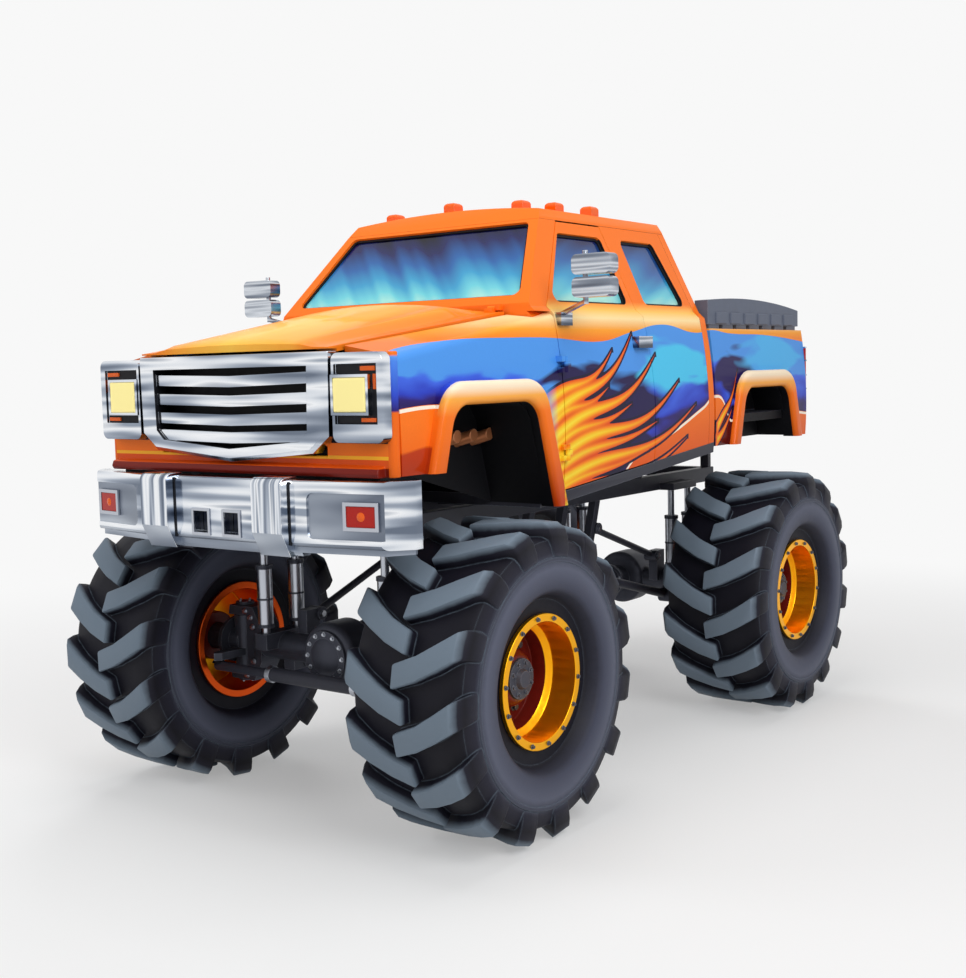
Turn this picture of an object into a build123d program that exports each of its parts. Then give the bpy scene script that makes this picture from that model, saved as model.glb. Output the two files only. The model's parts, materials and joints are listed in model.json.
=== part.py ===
"""Monster truck: a lifted pickup body on a tube chassis, with steered axles and lugged 66 inch tyres.

Millimetres. +X points forward, +Y to the truck's left, +Z up.
The origin is on the ground, midway between the axles.
"""

import os

from build123d import *

# Wheels and stance
WHEELBASE = 3250
OVERALL_WIDTH = 2960  # over the tyres
TYRE_RADIUS = 838  # axle centre to the lug tips
TYRE_WIDTH = 740
LUG_HEIGHT = 78
LUGS_PER_ROW = 15
LUG_FLATS = 2 * LUGS_PER_ROW  # flats around the lug tips
LUG_BEVEL = 48
BEAD_RADIUS = 340
RIM_FLANGE_RADIUS = 356
RIM_WIDTH = 600
RIM_DISH_RADIUS = 312
FLANGE = 26
SEAT_GAP = 0.3  # between pieces that sit on one another without touching
AXLE_Z = TYRE_RADIUS
WHEEL_Y = (OVERALL_WIDTH - TYRE_WIDTH) / 2

# Axles and steering
KINGPIN_Y = WHEEL_Y - 330
KINGPIN_RADIUS = 35
SPINDLE_RADIUS = 80
YOKE_HALF_HEIGHT = 225
YOKE_GAP_HALF_HEIGHT = 168
YOKE_HALF_DEPTH = 78
AXLE_TUBE_RADIUS = 85
DIFF_RADIUS = 195
DIFF_HALF_LENGTH = 120
PINION_REACH = 265
STEER_ARM = 235
STEER_ARM_DROP = 60  # of the tie rod below the axle centre
STEER_ARM_THICKNESS = 44
TIE_ROD_RADIUS = 28
SHOCK_Y = KINGPIN_Y * 47 / 78
SHOCK_SPREAD = 130
SHOCK_SEAT_Z = AXLE_Z + 94
SHOCK_SEAT = 46

# Chassis
RAIL_Y = KINGPIN_Y * 6 / 13
RAIL_WIDTH = 80
RAIL_HEIGHT = 110
RAIL_TOP = 1640
RAIL_FRONT = 2420
RAIL_REAR = -2330
LOWER_RAIL_Y = KINGPIN_Y * 131 / 390
LOWER_RAIL_TOP = 1030
LOWER_RAIL_HALF_LENGTH = 640
LOWER_RAIL_SIZE = 70
CROSS_SIZE = 80
CASE_Z = 1230
CASE_HALF_LENGTH = 340
CASE_RADIUS = 175

# Body
SIDE_Y = 1075  # widest point of the doors
PANEL_GAP = 8
SKIN = 30  # fenders and hood
CAB_WALL = 65
SILL_FRONT_Z = 1665
SILL_REAR_Z = 1850
CAB_FRONT = 1020
CAB_REAR = -1010
BELT_Z = 2800
ROOF_Z = 3440
ROOF_HALF_WIDTH = 745
SCREEN_TOP_X = 490
BACK_TOP_X = -880
DOOR_FRONT = 850
DOOR_REAR = -190
DOOR_REAR_BEVEL = 0.38  # forward shift of the rear shut face for each unit inboard
DOOR_TOP_Z = ROOF_Z - 115
NOSE_X = 2340
HOOD_FRONT = 2392
HOOD_REAR = 1040
BED_FRONT = -1030
BED_REAR = -2572
BED_TOP = 2690
BED_LOW = 1890
BED_FLOOR_Z = 2090
BED_WALL = 50
BED_UNDERSIDE = BED_FLOOR_Z - 60
PANEL_LOW = 1940  # underside of the front panel
TRUCK_END = 2590  # half of the overall length

# Hinges, each a pin on the fixed side and a barrel on the moving side
HINGE_PIN = 8
HINGE_BARREL = 15
DOOR_HINGE_X = DOOR_FRONT + PANEL_GAP / 2
DOOR_HINGE_Y = SIDE_Y + 15
DOOR_HINGE_Z = (1970, 2470)
HOOD_HINGE_Z = 2797
HOOD_HINGE_Y = (690, 742, 776)  # barrel from, barrel to, bracket to
TAILGATE_HINGE_Z = BED_FLOOR_Z + 30
TAILGATE_PIN = 12

SIDES = {"left": 1, "right": -1}
AXLES = {"front": 1, "rear": -1}  # sign along X


def wheel_plane(y):
    """A plane across the wheel's axle, facing its outer side."""
    return Plane(origin=(0, y, 0), x_dir=(1, 0, 0), z_dir=(0, 1, 0))


def rod(start, end, radius):
    """A round bar between two points."""
    start, end = Vector(start), Vector(end)
    with BuildPart(Plane(origin=start, z_dir=end - start)) as bar:
        Cylinder(radius, (end - start).length, align=(Align.CENTER, Align.CENTER, Align.MIN))
    return bar.part


def block(x0, x1, y0, y1, z0, z1):
    """A box given by its faces."""
    with BuildPart(Plane(((x0 + x1) / 2, (y0 + y1) / 2, (z0 + z1) / 2))) as box:
        Box(abs(x1 - x0), abs(y1 - y0), abs(z1 - z0))
    return box.part


def slab(plane, points, depth, both=False):
    """A flat polygon on a plane, extruded."""
    with BuildPart() as plate:
        with BuildSketch(plane):
            with BuildLine():
                Polyline(*points, close=True)
            make_face()
        extrude(amount=depth, both=both)
    return plate.part


def along_y(points, y0, y1):
    """A profile of (x, z) points, extruded from y0 to y1."""
    return slab(Plane(origin=(0, y0, 0), x_dir=(1, 0, 0), z_dir=(0, -1, 0)), points, y0 - y1)


def along_x(points, x0, x1):
    """A profile of (y, z) points, extruded from x0 to x1."""
    return slab(Plane(origin=(x0, 0, 0), x_dir=(0, 1, 0), z_dir=(1, 0, 0)), points, x1 - x0)


def flipped(shape):
    """The same shape on the other side of the truck."""
    with BuildPart() as other:
        mirror(shape, about=Plane.XZ)
    return other.part


def write(shape, name):
    """Writes one node."""
    shape.label = name
    export_step(shape, f"parts/{name}.step")


os.makedirs("parts", exist_ok=True)

# Tyre: a carcass of straight-sided rings, with two rows of chevron lugs that point forward at the top
CARCASS_RADIUS = TYRE_RADIUS - LUG_HEIGHT
HALF = TYRE_WIDTH / 2
bead = (RIM_WIDTH / 2 - FLANGE - SEAT_GAP) / HALF  # just inside the rim's flanges
# Columns: share of the half width, radius
TYRE_RINGS = (
    (-bead, BEAD_RADIUS + 95),
    (-1.0, CARCASS_RADIUS - 200),
    (-0.93, CARCASS_RADIUS - 10),
    (0.93, CARCASS_RADIUS - 10),
    (1.0, CARCASS_RADIUS - 200),
    (bead, BEAD_RADIUS + 95),
)
# Columns: share of the half width from the tyre's middle, place along the tread, bar width
LUG_SPINE = ((-0.06, 104, 96), (0.985, -96, 122))

with BuildPart() as lug:
    with BuildSketch(Plane.XY.offset(CARCASS_RADIUS - 110)):
        with BuildLine():
            ahead = [(along + bar / 2, share * HALF) for share, along, bar in LUG_SPINE]
            behind = [(along - bar / 2, share * HALF) for share, along, bar in LUG_SPINE]
            Polyline(*ahead, *reversed(behind), close=True)
        make_face()
    extrude(amount=LUG_HEIGHT + 140)
    with BuildSketch(wheel_plane(-HALF)):
        RegularPolygon(TYRE_RADIUS, LUG_FLATS, major_radius=False, rotation=90 + 180 / LUG_FLATS)
    extrude(amount=TYRE_WIDTH, mode=Mode.INTERSECT)
    bevel = Plane(origin=(0, LUG_SPINE[-1][0] * HALF, TYRE_RADIUS - LUG_BEVEL), z_dir=(0, 1, 1))
    split(bisect_by=bevel, keep=Keep.BOTTOM)

with BuildPart() as tyre:
    for share, radius in TYRE_RINGS:
        with BuildSketch(wheel_plane(share * HALF)):
            RegularPolygon(radius, LUGS_PER_ROW, rotation=90 + 180 / LUGS_PER_ROW)
    loft(ruled=True)
    with BuildSketch(wheel_plane(-HALF)):
        RegularPolygon(BEAD_RADIUS, LUGS_PER_ROW, major_radius=False, rotation=90 + 180 / LUGS_PER_ROW)
    extrude(amount=TYRE_WIDTH, mode=Mode.SUBTRACT)
    pitch = 360 / LUGS_PER_ROW
    outer_row = [lug.part.rotate(Axis.Y, k * pitch) for k in range(LUGS_PER_ROW)]
    inner_row = [flipped(lug.part).rotate(Axis.Y, (k + 0.5) * pitch) for k in range(LUGS_PER_ROW)]
    add([*outer_row, *inner_row])

# Rim: bead flanges, a stepped outer dish, the disc and the hub drum that closes over the spindle
DISC_FACE = 40
HUB_RADIUS = 150
HUB_NOSE = 150
HUB_BACK = -70
SPINDLE_END = 100
half_rim = RIM_WIDTH / 2
with BuildPart() as rim:
    with BuildSketch(Plane.XY):
        with BuildLine():
            Polyline(
                (0, HUB_NOSE),
                (HUB_RADIUS - 30, HUB_NOSE),
                (HUB_RADIUS, HUB_NOSE - 30),
                (HUB_RADIUS, DISC_FACE),
                (RIM_DISH_RADIUS - 38, DISC_FACE),
                (RIM_DISH_RADIUS - 38, DISC_FACE + 90),
                (RIM_DISH_RADIUS, DISC_FACE + 110),
                (RIM_DISH_RADIUS, half_rim),
                (RIM_FLANGE_RADIUS, half_rim),
                (RIM_FLANGE_RADIUS, half_rim - FLANGE),
                (BEAD_RADIUS - SEAT_GAP, half_rim - FLANGE),
                (BEAD_RADIUS - SEAT_GAP, FLANGE - half_rim),
                (RIM_FLANGE_RADIUS, FLANGE - half_rim),
                (RIM_FLANGE_RADIUS, -half_rim),
                (RIM_DISH_RADIUS, -half_rim),
                (RIM_DISH_RADIUS, 0),
                (HUB_RADIUS, 0),
                (HUB_RADIUS, HUB_BACK),
                (SPINDLE_RADIUS + SEAT_GAP, HUB_BACK),
                (SPINDLE_RADIUS + SEAT_GAP, SPINDLE_END + SEAT_GAP),
                (0, SPINDLE_END + SEAT_GAP),
                close=True,
            )
        make_face()
    revolve(axis=Axis.Y)

# Wheels on their four spindles
for axle, ahead in AXLES.items():
    for side, left in SIDES.items():
        hub = Location((ahead * WHEELBASE / 2, left * WHEEL_Y, AXLE_Z))
        with BuildPart() as wheel_rim:
            add((rim.part if left > 0 else flipped(rim.part)).moved(hub))
        write(wheel_rim.part, f"rim_{axle}_{side}")
        with BuildPart() as wheel_tyre:
            add((tyre.part if left > 0 else flipped(tyre.part)).moved(hub))
        write(wheel_tyre.part, f"tyre_{axle}_{side}")

# Axle housing at its own middle, nose of the differential towards the truck's middle
LINK_FACE = -112
LOWER_LINK_Y = KINGPIN_Y * 7 / 13
LOWER_LINK_DROP = 100
UPPER_LINK_Y = KINGPIN_Y * 5 / 13
UPPER_LINK_RISE = 190
seat_z = SHOCK_SEAT_Z - AXLE_Z
with BuildPart() as axle_housing:
    add(rod((-DIFF_HALF_LENGTH, 0, 0), (DIFF_HALF_LENGTH, 0, 0), DIFF_RADIUS))
    fillet(axle_housing.edges().filter_by(GeomType.CIRCLE), 45)
    add(rod((0, 0, 0), (-PINION_REACH, 0, 0), DIFF_RADIUS / 2))
    add(rod((0, -KINGPIN_Y + 150, 0), (0, KINGPIN_Y - 150, 0), AXLE_TUBE_RADIUS))
    yoke_profile = (
        (KINGPIN_Y - 205, 105),
        (KINGPIN_Y - 140, YOKE_HALF_HEIGHT),
        (KINGPIN_Y + 55, YOKE_HALF_HEIGHT),
        (KINGPIN_Y + 65, YOKE_GAP_HALF_HEIGHT),
        (KINGPIN_Y - 85, YOKE_GAP_HALF_HEIGHT),
        (KINGPIN_Y - 85, -YOKE_GAP_HALF_HEIGHT),
        (KINGPIN_Y + 65, -YOKE_GAP_HALF_HEIGHT),
        (KINGPIN_Y + 55, -YOKE_HALF_HEIGHT),
        (KINGPIN_Y - 140, -YOKE_HALF_HEIGHT),
        (KINGPIN_Y - 205, -105),
    )
    yoke = along_x(yoke_profile, -YOKE_HALF_DEPTH, YOKE_HALF_DEPTH)
    add([yoke, flipped(yoke)])
    for left in SIDES.values():
        seat_y = left * (SHOCK_Y - SHOCK_SEAT), left * (SHOCK_Y + SHOCK_SEAT)
        add(block(-SHOCK_SPREAD - SHOCK_SEAT, SHOCK_SPREAD + SHOCK_SEAT, *seat_y, 0, seat_z))
        lower_y, upper_y = left * LOWER_LINK_Y, left * UPPER_LINK_Y
        add(block(LINK_FACE, 0, lower_y - 42, lower_y + 42, -LOWER_LINK_DROP - 45, 0))
        add(block(LINK_FACE, 0, upper_y - 36, upper_y + 36, 0, UPPER_LINK_RISE + 36))
        pin = rod((0, left * KINGPIN_Y, -300), (0, left * KINGPIN_Y, 300), KINGPIN_RADIUS + SEAT_GAP)
        add(pin, mode=Mode.SUBTRACT)

# Left knuckle: kingpin and barrel, spindle, and the steering arm that points ahead
arm_low = -STEER_ARM_DROP - STEER_ARM_THICKNESS / 2
with BuildPart() as knuckle:
    add(rod((0, KINGPIN_Y, 8 - YOKE_GAP_HALF_HEIGHT), (0, KINGPIN_Y, YOKE_GAP_HALF_HEIGHT - 8), 70))
    add(rod((0, KINGPIN_Y, -YOKE_HALF_HEIGHT), (0, KINGPIN_Y, YOKE_HALF_HEIGHT), KINGPIN_RADIUS))
    add(rod((0, KINGPIN_Y, 0), (0, WHEEL_Y + SPINDLE_END, 0), SPINDLE_RADIUS))
    add(rod((0, KINGPIN_Y + 75, 0), (0, KINGPIN_Y + 100, 0), 140))
    arm_outline = (
        (0, KINGPIN_Y - 48),
        (STEER_ARM, KINGPIN_Y - 34),
        (STEER_ARM + 34, KINGPIN_Y),
        (STEER_ARM, KINGPIN_Y + 34),
        (0, KINGPIN_Y + 48),
    )
    add(slab(Plane.XY.offset(arm_low), arm_outline, STEER_ARM_THICKNESS))
    eye = rod((STEER_ARM, KINGPIN_Y, -300), (STEER_ARM, KINGPIN_Y, 300), 16 + SEAT_GAP)
    add(eye, mode=Mode.SUBTRACT)

# Tie rod under both arms, with a pin up into each of them
rod_z = arm_low - 6 - TIE_ROD_RADIUS
with BuildPart() as tie_rod:
    add(rod((STEER_ARM, -KINGPIN_Y, rod_z), (STEER_ARM, KINGPIN_Y, rod_z), TIE_ROD_RADIUS))
    sleeve = KINGPIN_Y * 11 / 26  # half length
    add(rod((STEER_ARM, -sleeve, rod_z), (STEER_ARM, sleeve, rod_z), TIE_ROD_RADIUS + 14))
    for left in SIDES.values():
        foot = (STEER_ARM, left * KINGPIN_Y, rod_z)
        with Locations(foot):
            Sphere(TIE_ROD_RADIUS)
        add(rod(foot, (STEER_ARM, left * KINGPIN_Y, arm_low + STEER_ARM_THICKNESS), 16))

for axle, ahead in AXLES.items():
    place = Location((ahead * WHEELBASE / 2, 0, AXLE_Z), (0, 0, 0 if ahead > 0 else 180))
    with BuildPart() as housing:
        add(axle_housing.part.moved(place))
    write(housing.part, f"{axle}_axle")
    with BuildPart() as steering_rod:
        add(tie_rod.part.moved(place))
    write(steering_rod.part, f"tie_rod_{axle}")
    for side, left in SIDES.items():
        with BuildPart() as end:
            add((knuckle.part if left * ahead > 0 else flipped(knuckle.part)).moved(place))
        write(end.part, f"knuckle_{axle}_{side}")


# Frame rails with shock towers, and the belly rails
def sill_z(x):
    """Height of the cab's underside."""
    return SILL_FRONT_Z + (SILL_REAR_Z - SILL_FRONT_Z) * (CAB_FRONT - x) / (CAB_FRONT - CAB_REAR)


def cab_floor_z(x):
    """Height of the cab floor's upper face, with the seating gap."""
    slope = (SILL_REAR_Z - SILL_FRONT_Z) / (CAB_FRONT - CAB_REAR)
    return sill_z(x) + CAB_WALL * (1 + slope**2) ** 0.5 + SEAT_GAP


rail_low = RAIL_TOP - RAIL_HEIGHT
half_rail = RAIL_WIDTH / 2
half_lower = LOWER_RAIL_SIZE / 2
lower_low = LOWER_RAIL_TOP - LOWER_RAIL_SIZE
with BuildPart() as frame_rails:
    for left in SIDES.values():
        y = left * RAIL_Y
        add(block(RAIL_REAR, RAIL_FRONT, y - half_rail, y + half_rail, rail_low, RAIL_TOP))
        for ahead in AXLES.values():
            x = ahead * WHEELBASE / 2
            reach = SHOCK_SPREAD + 50
            tower_y = left * (RAIL_Y + half_rail), left * (SHOCK_Y + 50)
            add(block(x - reach, x + reach, *tower_y, rail_low, rail_low + 50))
        y = left * LOWER_RAIL_Y
        half_length = LOWER_RAIL_HALF_LENGTH
        add(block(-half_length, half_length, y - half_lower, y + half_lower, lower_low, LOWER_RAIL_TOP))
write(frame_rails.part, "frame_rails")

# Cross members between the rails, uprights between the rail pairs and posts under the body
CROSS_X = (2340, 1850, 1200, 250, -700, -1250, -2280)
LOWER_CROSS_X = (-430, -120, 120, 430)
UPRIGHT_X = (-600, -200, 200, 600)
UPRIGHT_SIZE = 60
POST = 70
CAB_POST_X = (480, -760)


def upright(foot, head):
    """A square tube between two level faces."""
    with BuildPart() as tube:
        for point in (foot, head):
            with BuildSketch(Plane(point)):
                Rectangle(UPRIGHT_SIZE, UPRIGHT_SIZE)
        loft(ruled=True)
    return tube.part


with BuildPart() as frame_braces:
    for x in CROSS_X:
        half, y = CROSS_SIZE / 2, RAIL_Y - half_rail
        add(block(x - half, x + half, -y, y, RAIL_TOP - CROSS_SIZE, RAIL_TOP))
    for x in LOWER_CROSS_X:
        y = LOWER_RAIL_Y - half_lower
        add(block(x - half_lower, x + half_lower, -y, y, lower_low, LOWER_RAIL_TOP))
    for left in SIDES.values():
        for x in UPRIGHT_X:
            add(upright((x, left * LOWER_RAIL_Y, LOWER_RAIL_TOP), (x, left * RAIL_Y, rail_low)))
        post_y = left * RAIL_Y - POST / 2, left * RAIL_Y + POST / 2
        for x in CAB_POST_X:
            ahead, behind = x + POST / 2, x - POST / 2
            post = ((ahead, RAIL_TOP), (behind, RAIL_TOP), (behind, sill_z(behind)), (ahead, sill_z(ahead)))
            add(along_y(post, *post_y))
        for x, top in ((-1180, BED_UNDERSIDE), (-2270, BED_UNDERSIDE), (NOSE_X - 25, PANEL_LOW)):
            add(block(x - 25, x + 25, *post_y, RAIL_TOP, top))
write(frame_braces.part, "frame_braces")


def strut(start, end, radius, facing=(1, 0, 0)):
    """A bar whose flat ends both face one way, so that they lie on upright faces."""
    with BuildPart() as bar:
        for point in (start, end):
            with BuildSketch(Plane(origin=point, z_dir=facing)):
                Circle(radius)
        loft(ruled=True)
    return bar.part


axle_face = WHEELBASE / 2 + LINK_FACE
upright_face = UPRIGHT_X[-1] + UPRIGHT_SIZE / 2
upright_slope = (RAIL_Y - LOWER_RAIL_Y) / (rail_low - LOWER_RAIL_TOP)
UPPER_LINK_FRAME_Z = 1330
with BuildPart() as suspension_links:
    for ahead in AXLES.values():
        for left in SIDES.values():
            lower_axle = (ahead * axle_face, left * LOWER_LINK_Y, AXLE_Z - LOWER_LINK_DROP)
            lower_frame = (ahead * LOWER_RAIL_HALF_LENGTH, left * LOWER_RAIL_Y, LOWER_RAIL_TOP - half_lower)
            add(strut(lower_axle, lower_frame, 32))
            frame_y = LOWER_RAIL_Y + upright_slope * (UPPER_LINK_FRAME_Z - LOWER_RAIL_TOP)
            upper_axle = (ahead * axle_face, left * UPPER_LINK_Y, AXLE_Z + UPPER_LINK_RISE)
            add(strut(upper_axle, (ahead * upright_face, left * frame_y, UPPER_LINK_FRAME_Z), 24))
write(suspension_links.part, "suspension_links")

SHOCK_ROD_RADIUS = 24
SHOCK_BODY_RADIUS = 46
SHOCK_BODY = (40, 400)  # from and to, above the seat
with BuildPart() as shocks:
    for ahead in AXLES.values():
        for left in SIDES.values():
            for spread in (-SHOCK_SPREAD, SHOCK_SPREAD):
                foot = Vector(ahead * WHEELBASE / 2 + spread, left * SHOCK_Y, SHOCK_SEAT_Z)
                head = Vector(foot.X, foot.Y, rail_low)
                add(rod(foot, head, SHOCK_ROD_RADIUS))
                add(rod(*(foot + (0, 0, rise) for rise in SHOCK_BODY), SHOCK_BODY_RADIUS))
write(shocks.part, "shocks")

# Columns: place along the truck, radius of the transfer case there
CASE_PROFILE = (
    (-CASE_HALF_LENGTH, 95),
    (-250, 95),
    (-250, 140),
    (-180, CASE_RADIUS),
    (-30, CASE_RADIUS),
    (-30, CASE_RADIUS + 15),
    (30, CASE_RADIUS + 15),
    (30, CASE_RADIUS),
    (180, CASE_RADIUS),
    (250, 140),
    (250, 95),
    (CASE_HALF_LENGTH, 95),
)
with BuildPart() as transfer_case:
    with BuildSketch(Plane(origin=(0, 0, CASE_Z), x_dir=(1, 0, 0), z_dir=(0, -1, 0))):
        with BuildLine():
            Polyline((-CASE_HALF_LENGTH, 0), *CASE_PROFILE, (CASE_HALF_LENGTH, 0), close=True)
        make_face()
    revolve(axis=Axis((0, 0, CASE_Z), (1, 0, 0)))
    add(block(-165, 165, -110, 110, LOWER_RAIL_TOP, CASE_Z))
write(transfer_case.part, "transfer_case")

with BuildPart() as drive_shafts:
    for ahead in AXLES.values():
        case_end = Vector(ahead * CASE_HALF_LENGTH, 0, CASE_Z)
        pinion_end = Vector(ahead * (WHEELBASE / 2 - PINION_REACH), 0, AXLE_Z)
        add(strut(case_end, pinion_end, 46))
        add(rod(case_end, case_end + (ahead * 40, 0, 0), 72))
        add(rod(pinion_end, pinion_end - (ahead * 40, 0, 0), 72))
write(drive_shafts.part, "drive_shafts")

# Engine on the cross members, with header pipes that run out and up through the arches
ENGINE_X = (1160, 1900)
ENGINE_SIDE = 280
with BuildPart() as engine_block:
    half = ENGINE_SIDE
    engine_profile = (
        (-190, RAIL_TOP),
        (-190, 1780),
        (-half, 1860),
        (-half, 2120),
        (-150, 2200),
        (150, 2200),
        (half, 2120),
        (half, 1860),
        (190, 1780),
        (190, RAIL_TOP),
    )
    add(along_x(engine_profile, *ENGINE_X))
write(engine_block.part, "engine_block")

HEADER_FIRST_X = 1790
HEADER_PITCH = 150
HEADER_SWEEP = 190
HEADER_Z = 1930
HEADER_RISE = 160
HEADER_MOUTH_Y = 760
HEADER_RADIUS = 36
with BuildPart() as header_pipes:
    for left in SIDES.values():
        for k in range(4):
            port = (HEADER_FIRST_X - HEADER_PITCH * k, left * ENGINE_SIDE, HEADER_Z)
            mouth = (port[0] - HEADER_SWEEP, left * HEADER_MOUTH_Y, HEADER_Z + HEADER_RISE)
            add(strut(port, mouth, HEADER_RADIUS, facing=(0, 1, 0)))
write(header_pipes.part, "header_pipes")

# Cab: one cross section and one side outline make the outer form, and both moved inward make the hollow
SIDE_LOW_Z = 1600
SIDE_LOW = (SIDE_Y - 43, SIDE_LOW_Z)
SIDE_MID = (SIDE_Y, 2200)
SIDE_HIGH = (SIDE_Y - 67, 2760)
SHOULDER = (SIDE_Y - 110, BELT_Z)
EAVES = (ROOF_HALF_WIDTH, ROOF_Z - 90)
ROOF_EDGE = (ROOF_HALF_WIDTH - 30, ROOF_Z - 40)
SCREEN_BASE_Z = 2820
TOP_Z = ROOF_Z + 30


def cab_section(inset):
    """A long bar with the cab's cross section, moved inward by an inset."""
    def mirrored(point):
        return (-point[0], point[1])

    with BuildPart() as bar:
        with BuildSketch(Plane(origin=(CAB_REAR - 100, 0, 0), x_dir=(0, 1, 0), z_dir=(1, 0, 0))):
            with BuildLine():
                ThreePointArc(SIDE_LOW, SIDE_MID, SIDE_HIGH)
                Polyline(SIDE_HIGH, SHOULDER, EAVES, ROOF_EDGE)
                ThreePointArc(ROOF_EDGE, (0, ROOF_Z), mirrored(ROOF_EDGE))
                Polyline(mirrored(ROOF_EDGE), mirrored(EAVES), mirrored(SHOULDER), mirrored(SIDE_HIGH))
                ThreePointArc(mirrored(SIDE_HIGH), mirrored(SIDE_MID), mirrored(SIDE_LOW))
                Line(mirrored(SIDE_LOW), SIDE_LOW)
            make_face()
            if inset:
                offset(amount=-inset, kind=Kind.INTERSECTION)
        extrude(amount=CAB_FRONT - CAB_REAR + 200)
    return bar.part


def cab_outline(inset):
    """A wide bar with the cab's side outline, moved inward by an inset."""
    with BuildPart() as bar:
        with BuildSketch(Plane.XZ):
            with BuildLine():
                Polyline(
                    (CAB_FRONT, SILL_FRONT_Z),
                    (CAB_FRONT, SCREEN_BASE_Z),
                    (SCREEN_TOP_X, TOP_Z),
                    (BACK_TOP_X, TOP_Z),
                    (CAB_REAR, BELT_Z),
                    (CAB_REAR, SILL_REAR_Z),
                    close=True,
                )
            make_face()
            if inset:
                offset(amount=-inset, kind=Kind.INTERSECTION)
        extrude(amount=1500, both=True)
    return bar.part


with BuildPart() as cab_outer:
    add(cab_section(0))
    add(cab_outline(0), mode=Mode.INTERSECT)

with BuildPart() as cab_hollow:
    add(cab_section(CAB_WALL))
    add(cab_outline(CAB_WALL), mode=Mode.INTERSECT)


def screen_x(z):
    """Place of the windscreen's outer face at a height."""
    return CAB_FRONT + (SCREEN_TOP_X - CAB_FRONT) * (z - SCREEN_BASE_Z) / (TOP_Z - SCREEN_BASE_Z)


# Door outline from the side; the rear shut face slants, so that the leaning frame swings out past the pillar
PILLAR_DEPTH = screen_x(BELT_Z) - DOOR_FRONT  # from the windscreen back to the door, along the truck


def door_tool(grow):
    """The space of both doors, grown by a gap."""
    front = DOOR_FRONT + grow
    rise = CAB_WALL + PANEL_GAP - grow
    top = DOOR_TOP_Z + grow
    outline = (
        (front, sill_z(front) + rise),
        (front, BELT_Z),
        (screen_x(top) - PILLAR_DEPTH + grow, top),
        (CAB_REAR, top),
        (CAB_REAR, sill_z(CAB_REAR) + rise),
    )
    far, near = SIDE_Y + 100, SIDE_Y - 560
    rear = DOOR_REAR - grow
    plan = (
        (rear - DOOR_REAR_BEVEL * 100, far),
        (rear + DOOR_REAR_BEVEL * 560, near),
        (CAB_FRONT + 300, near),
        (CAB_FRONT + 300, far),
    )
    with BuildPart() as tool:
        add(along_y(outline, near, far))
        add(slab(Plane.XY.offset(1500), plan, 2200), mode=Mode.INTERSECT)
        mirror(about=Plane.XZ)
    return tool.part


# Window outlines on the planes of their own panels: along, up, corner radius
screen_run = Vector(SCREEN_TOP_X - CAB_FRONT, 0, TOP_Z - SCREEN_BASE_Z).normalized()
screen_plane = Plane(
    origin=(CAB_FRONT, 0, SCREEN_BASE_Z), x_dir=(0, 1, 0), z_dir=Vector(0, 1, 0).cross(screen_run)
)
back_run = Vector(BACK_TOP_X - CAB_REAR, 0, TOP_Z - BELT_Z).normalized()
back_plane = Plane(origin=(CAB_REAR, 0, BELT_Z), x_dir=(0, -1, 0), z_dir=back_run.cross(Vector(0, 1, 0)))
side_run = Vector(0, EAVES[0] - SHOULDER[0], EAVES[1] - SHOULDER[1]).normalized()
side_plane = Plane(
    origin=(0, SHOULDER[0], BELT_Z), x_dir=(-1, 0, 0), z_dir=Vector(-1, 0, 0).cross(side_run)
)
screen_top = (DOOR_TOP_Z - 9 - SCREEN_BASE_Z) / screen_run.Z
back_top_edge = (DOOR_TOP_Z - 54 - BELT_Z) / back_run.Z
window_top_z = DOOR_TOP_Z - 70
side_top = (window_top_z - BELT_Z) / side_run.Z
pillar_top = screen_x(window_top_z) - PILLAR_DEPTH - 27  # behind the door's front edge
SCREEN_OUTLINE = ((-868, 62), (868, 62), (692, screen_top), (-692, screen_top))
BACK_OUTLINE = ((-700, 60), (700, 60), (620, back_top_edge), (-620, back_top_edge))
DOOR_OUTLINE = ((-782, 34), (80, 34), (28, side_top), (-pillar_top, side_top))
QUARTER_OUTLINE = ((300, 40), (838, 40), (690, side_top), (268, side_top))
GLASS_DEPTH = 26
GLASS = 8


def pane(plane, outline, start, depth):
    """A rounded window outline, extruded from a depth below its panel's face."""
    with BuildPart() as piece:
        with BuildSketch(plane.offset(start)) as shape:
            with BuildLine():
                Polyline(*outline, close=True)
            make_face()
            fillet(shape.vertices(), 45)
        extrude(amount=depth)
    return piece.part


def hole(plane, outline):
    """The opening of a window, right through its wall."""
    return pane(plane, outline, 60, -220)


def glass(plane, outline):
    """The pane of a window."""
    return pane(plane, outline, -GLASS_DEPTH, -GLASS)


door_hole = hole(side_plane, DOOR_OUTLINE)
quarter_hole = hole(side_plane, QUARTER_OUTLINE)

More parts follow.
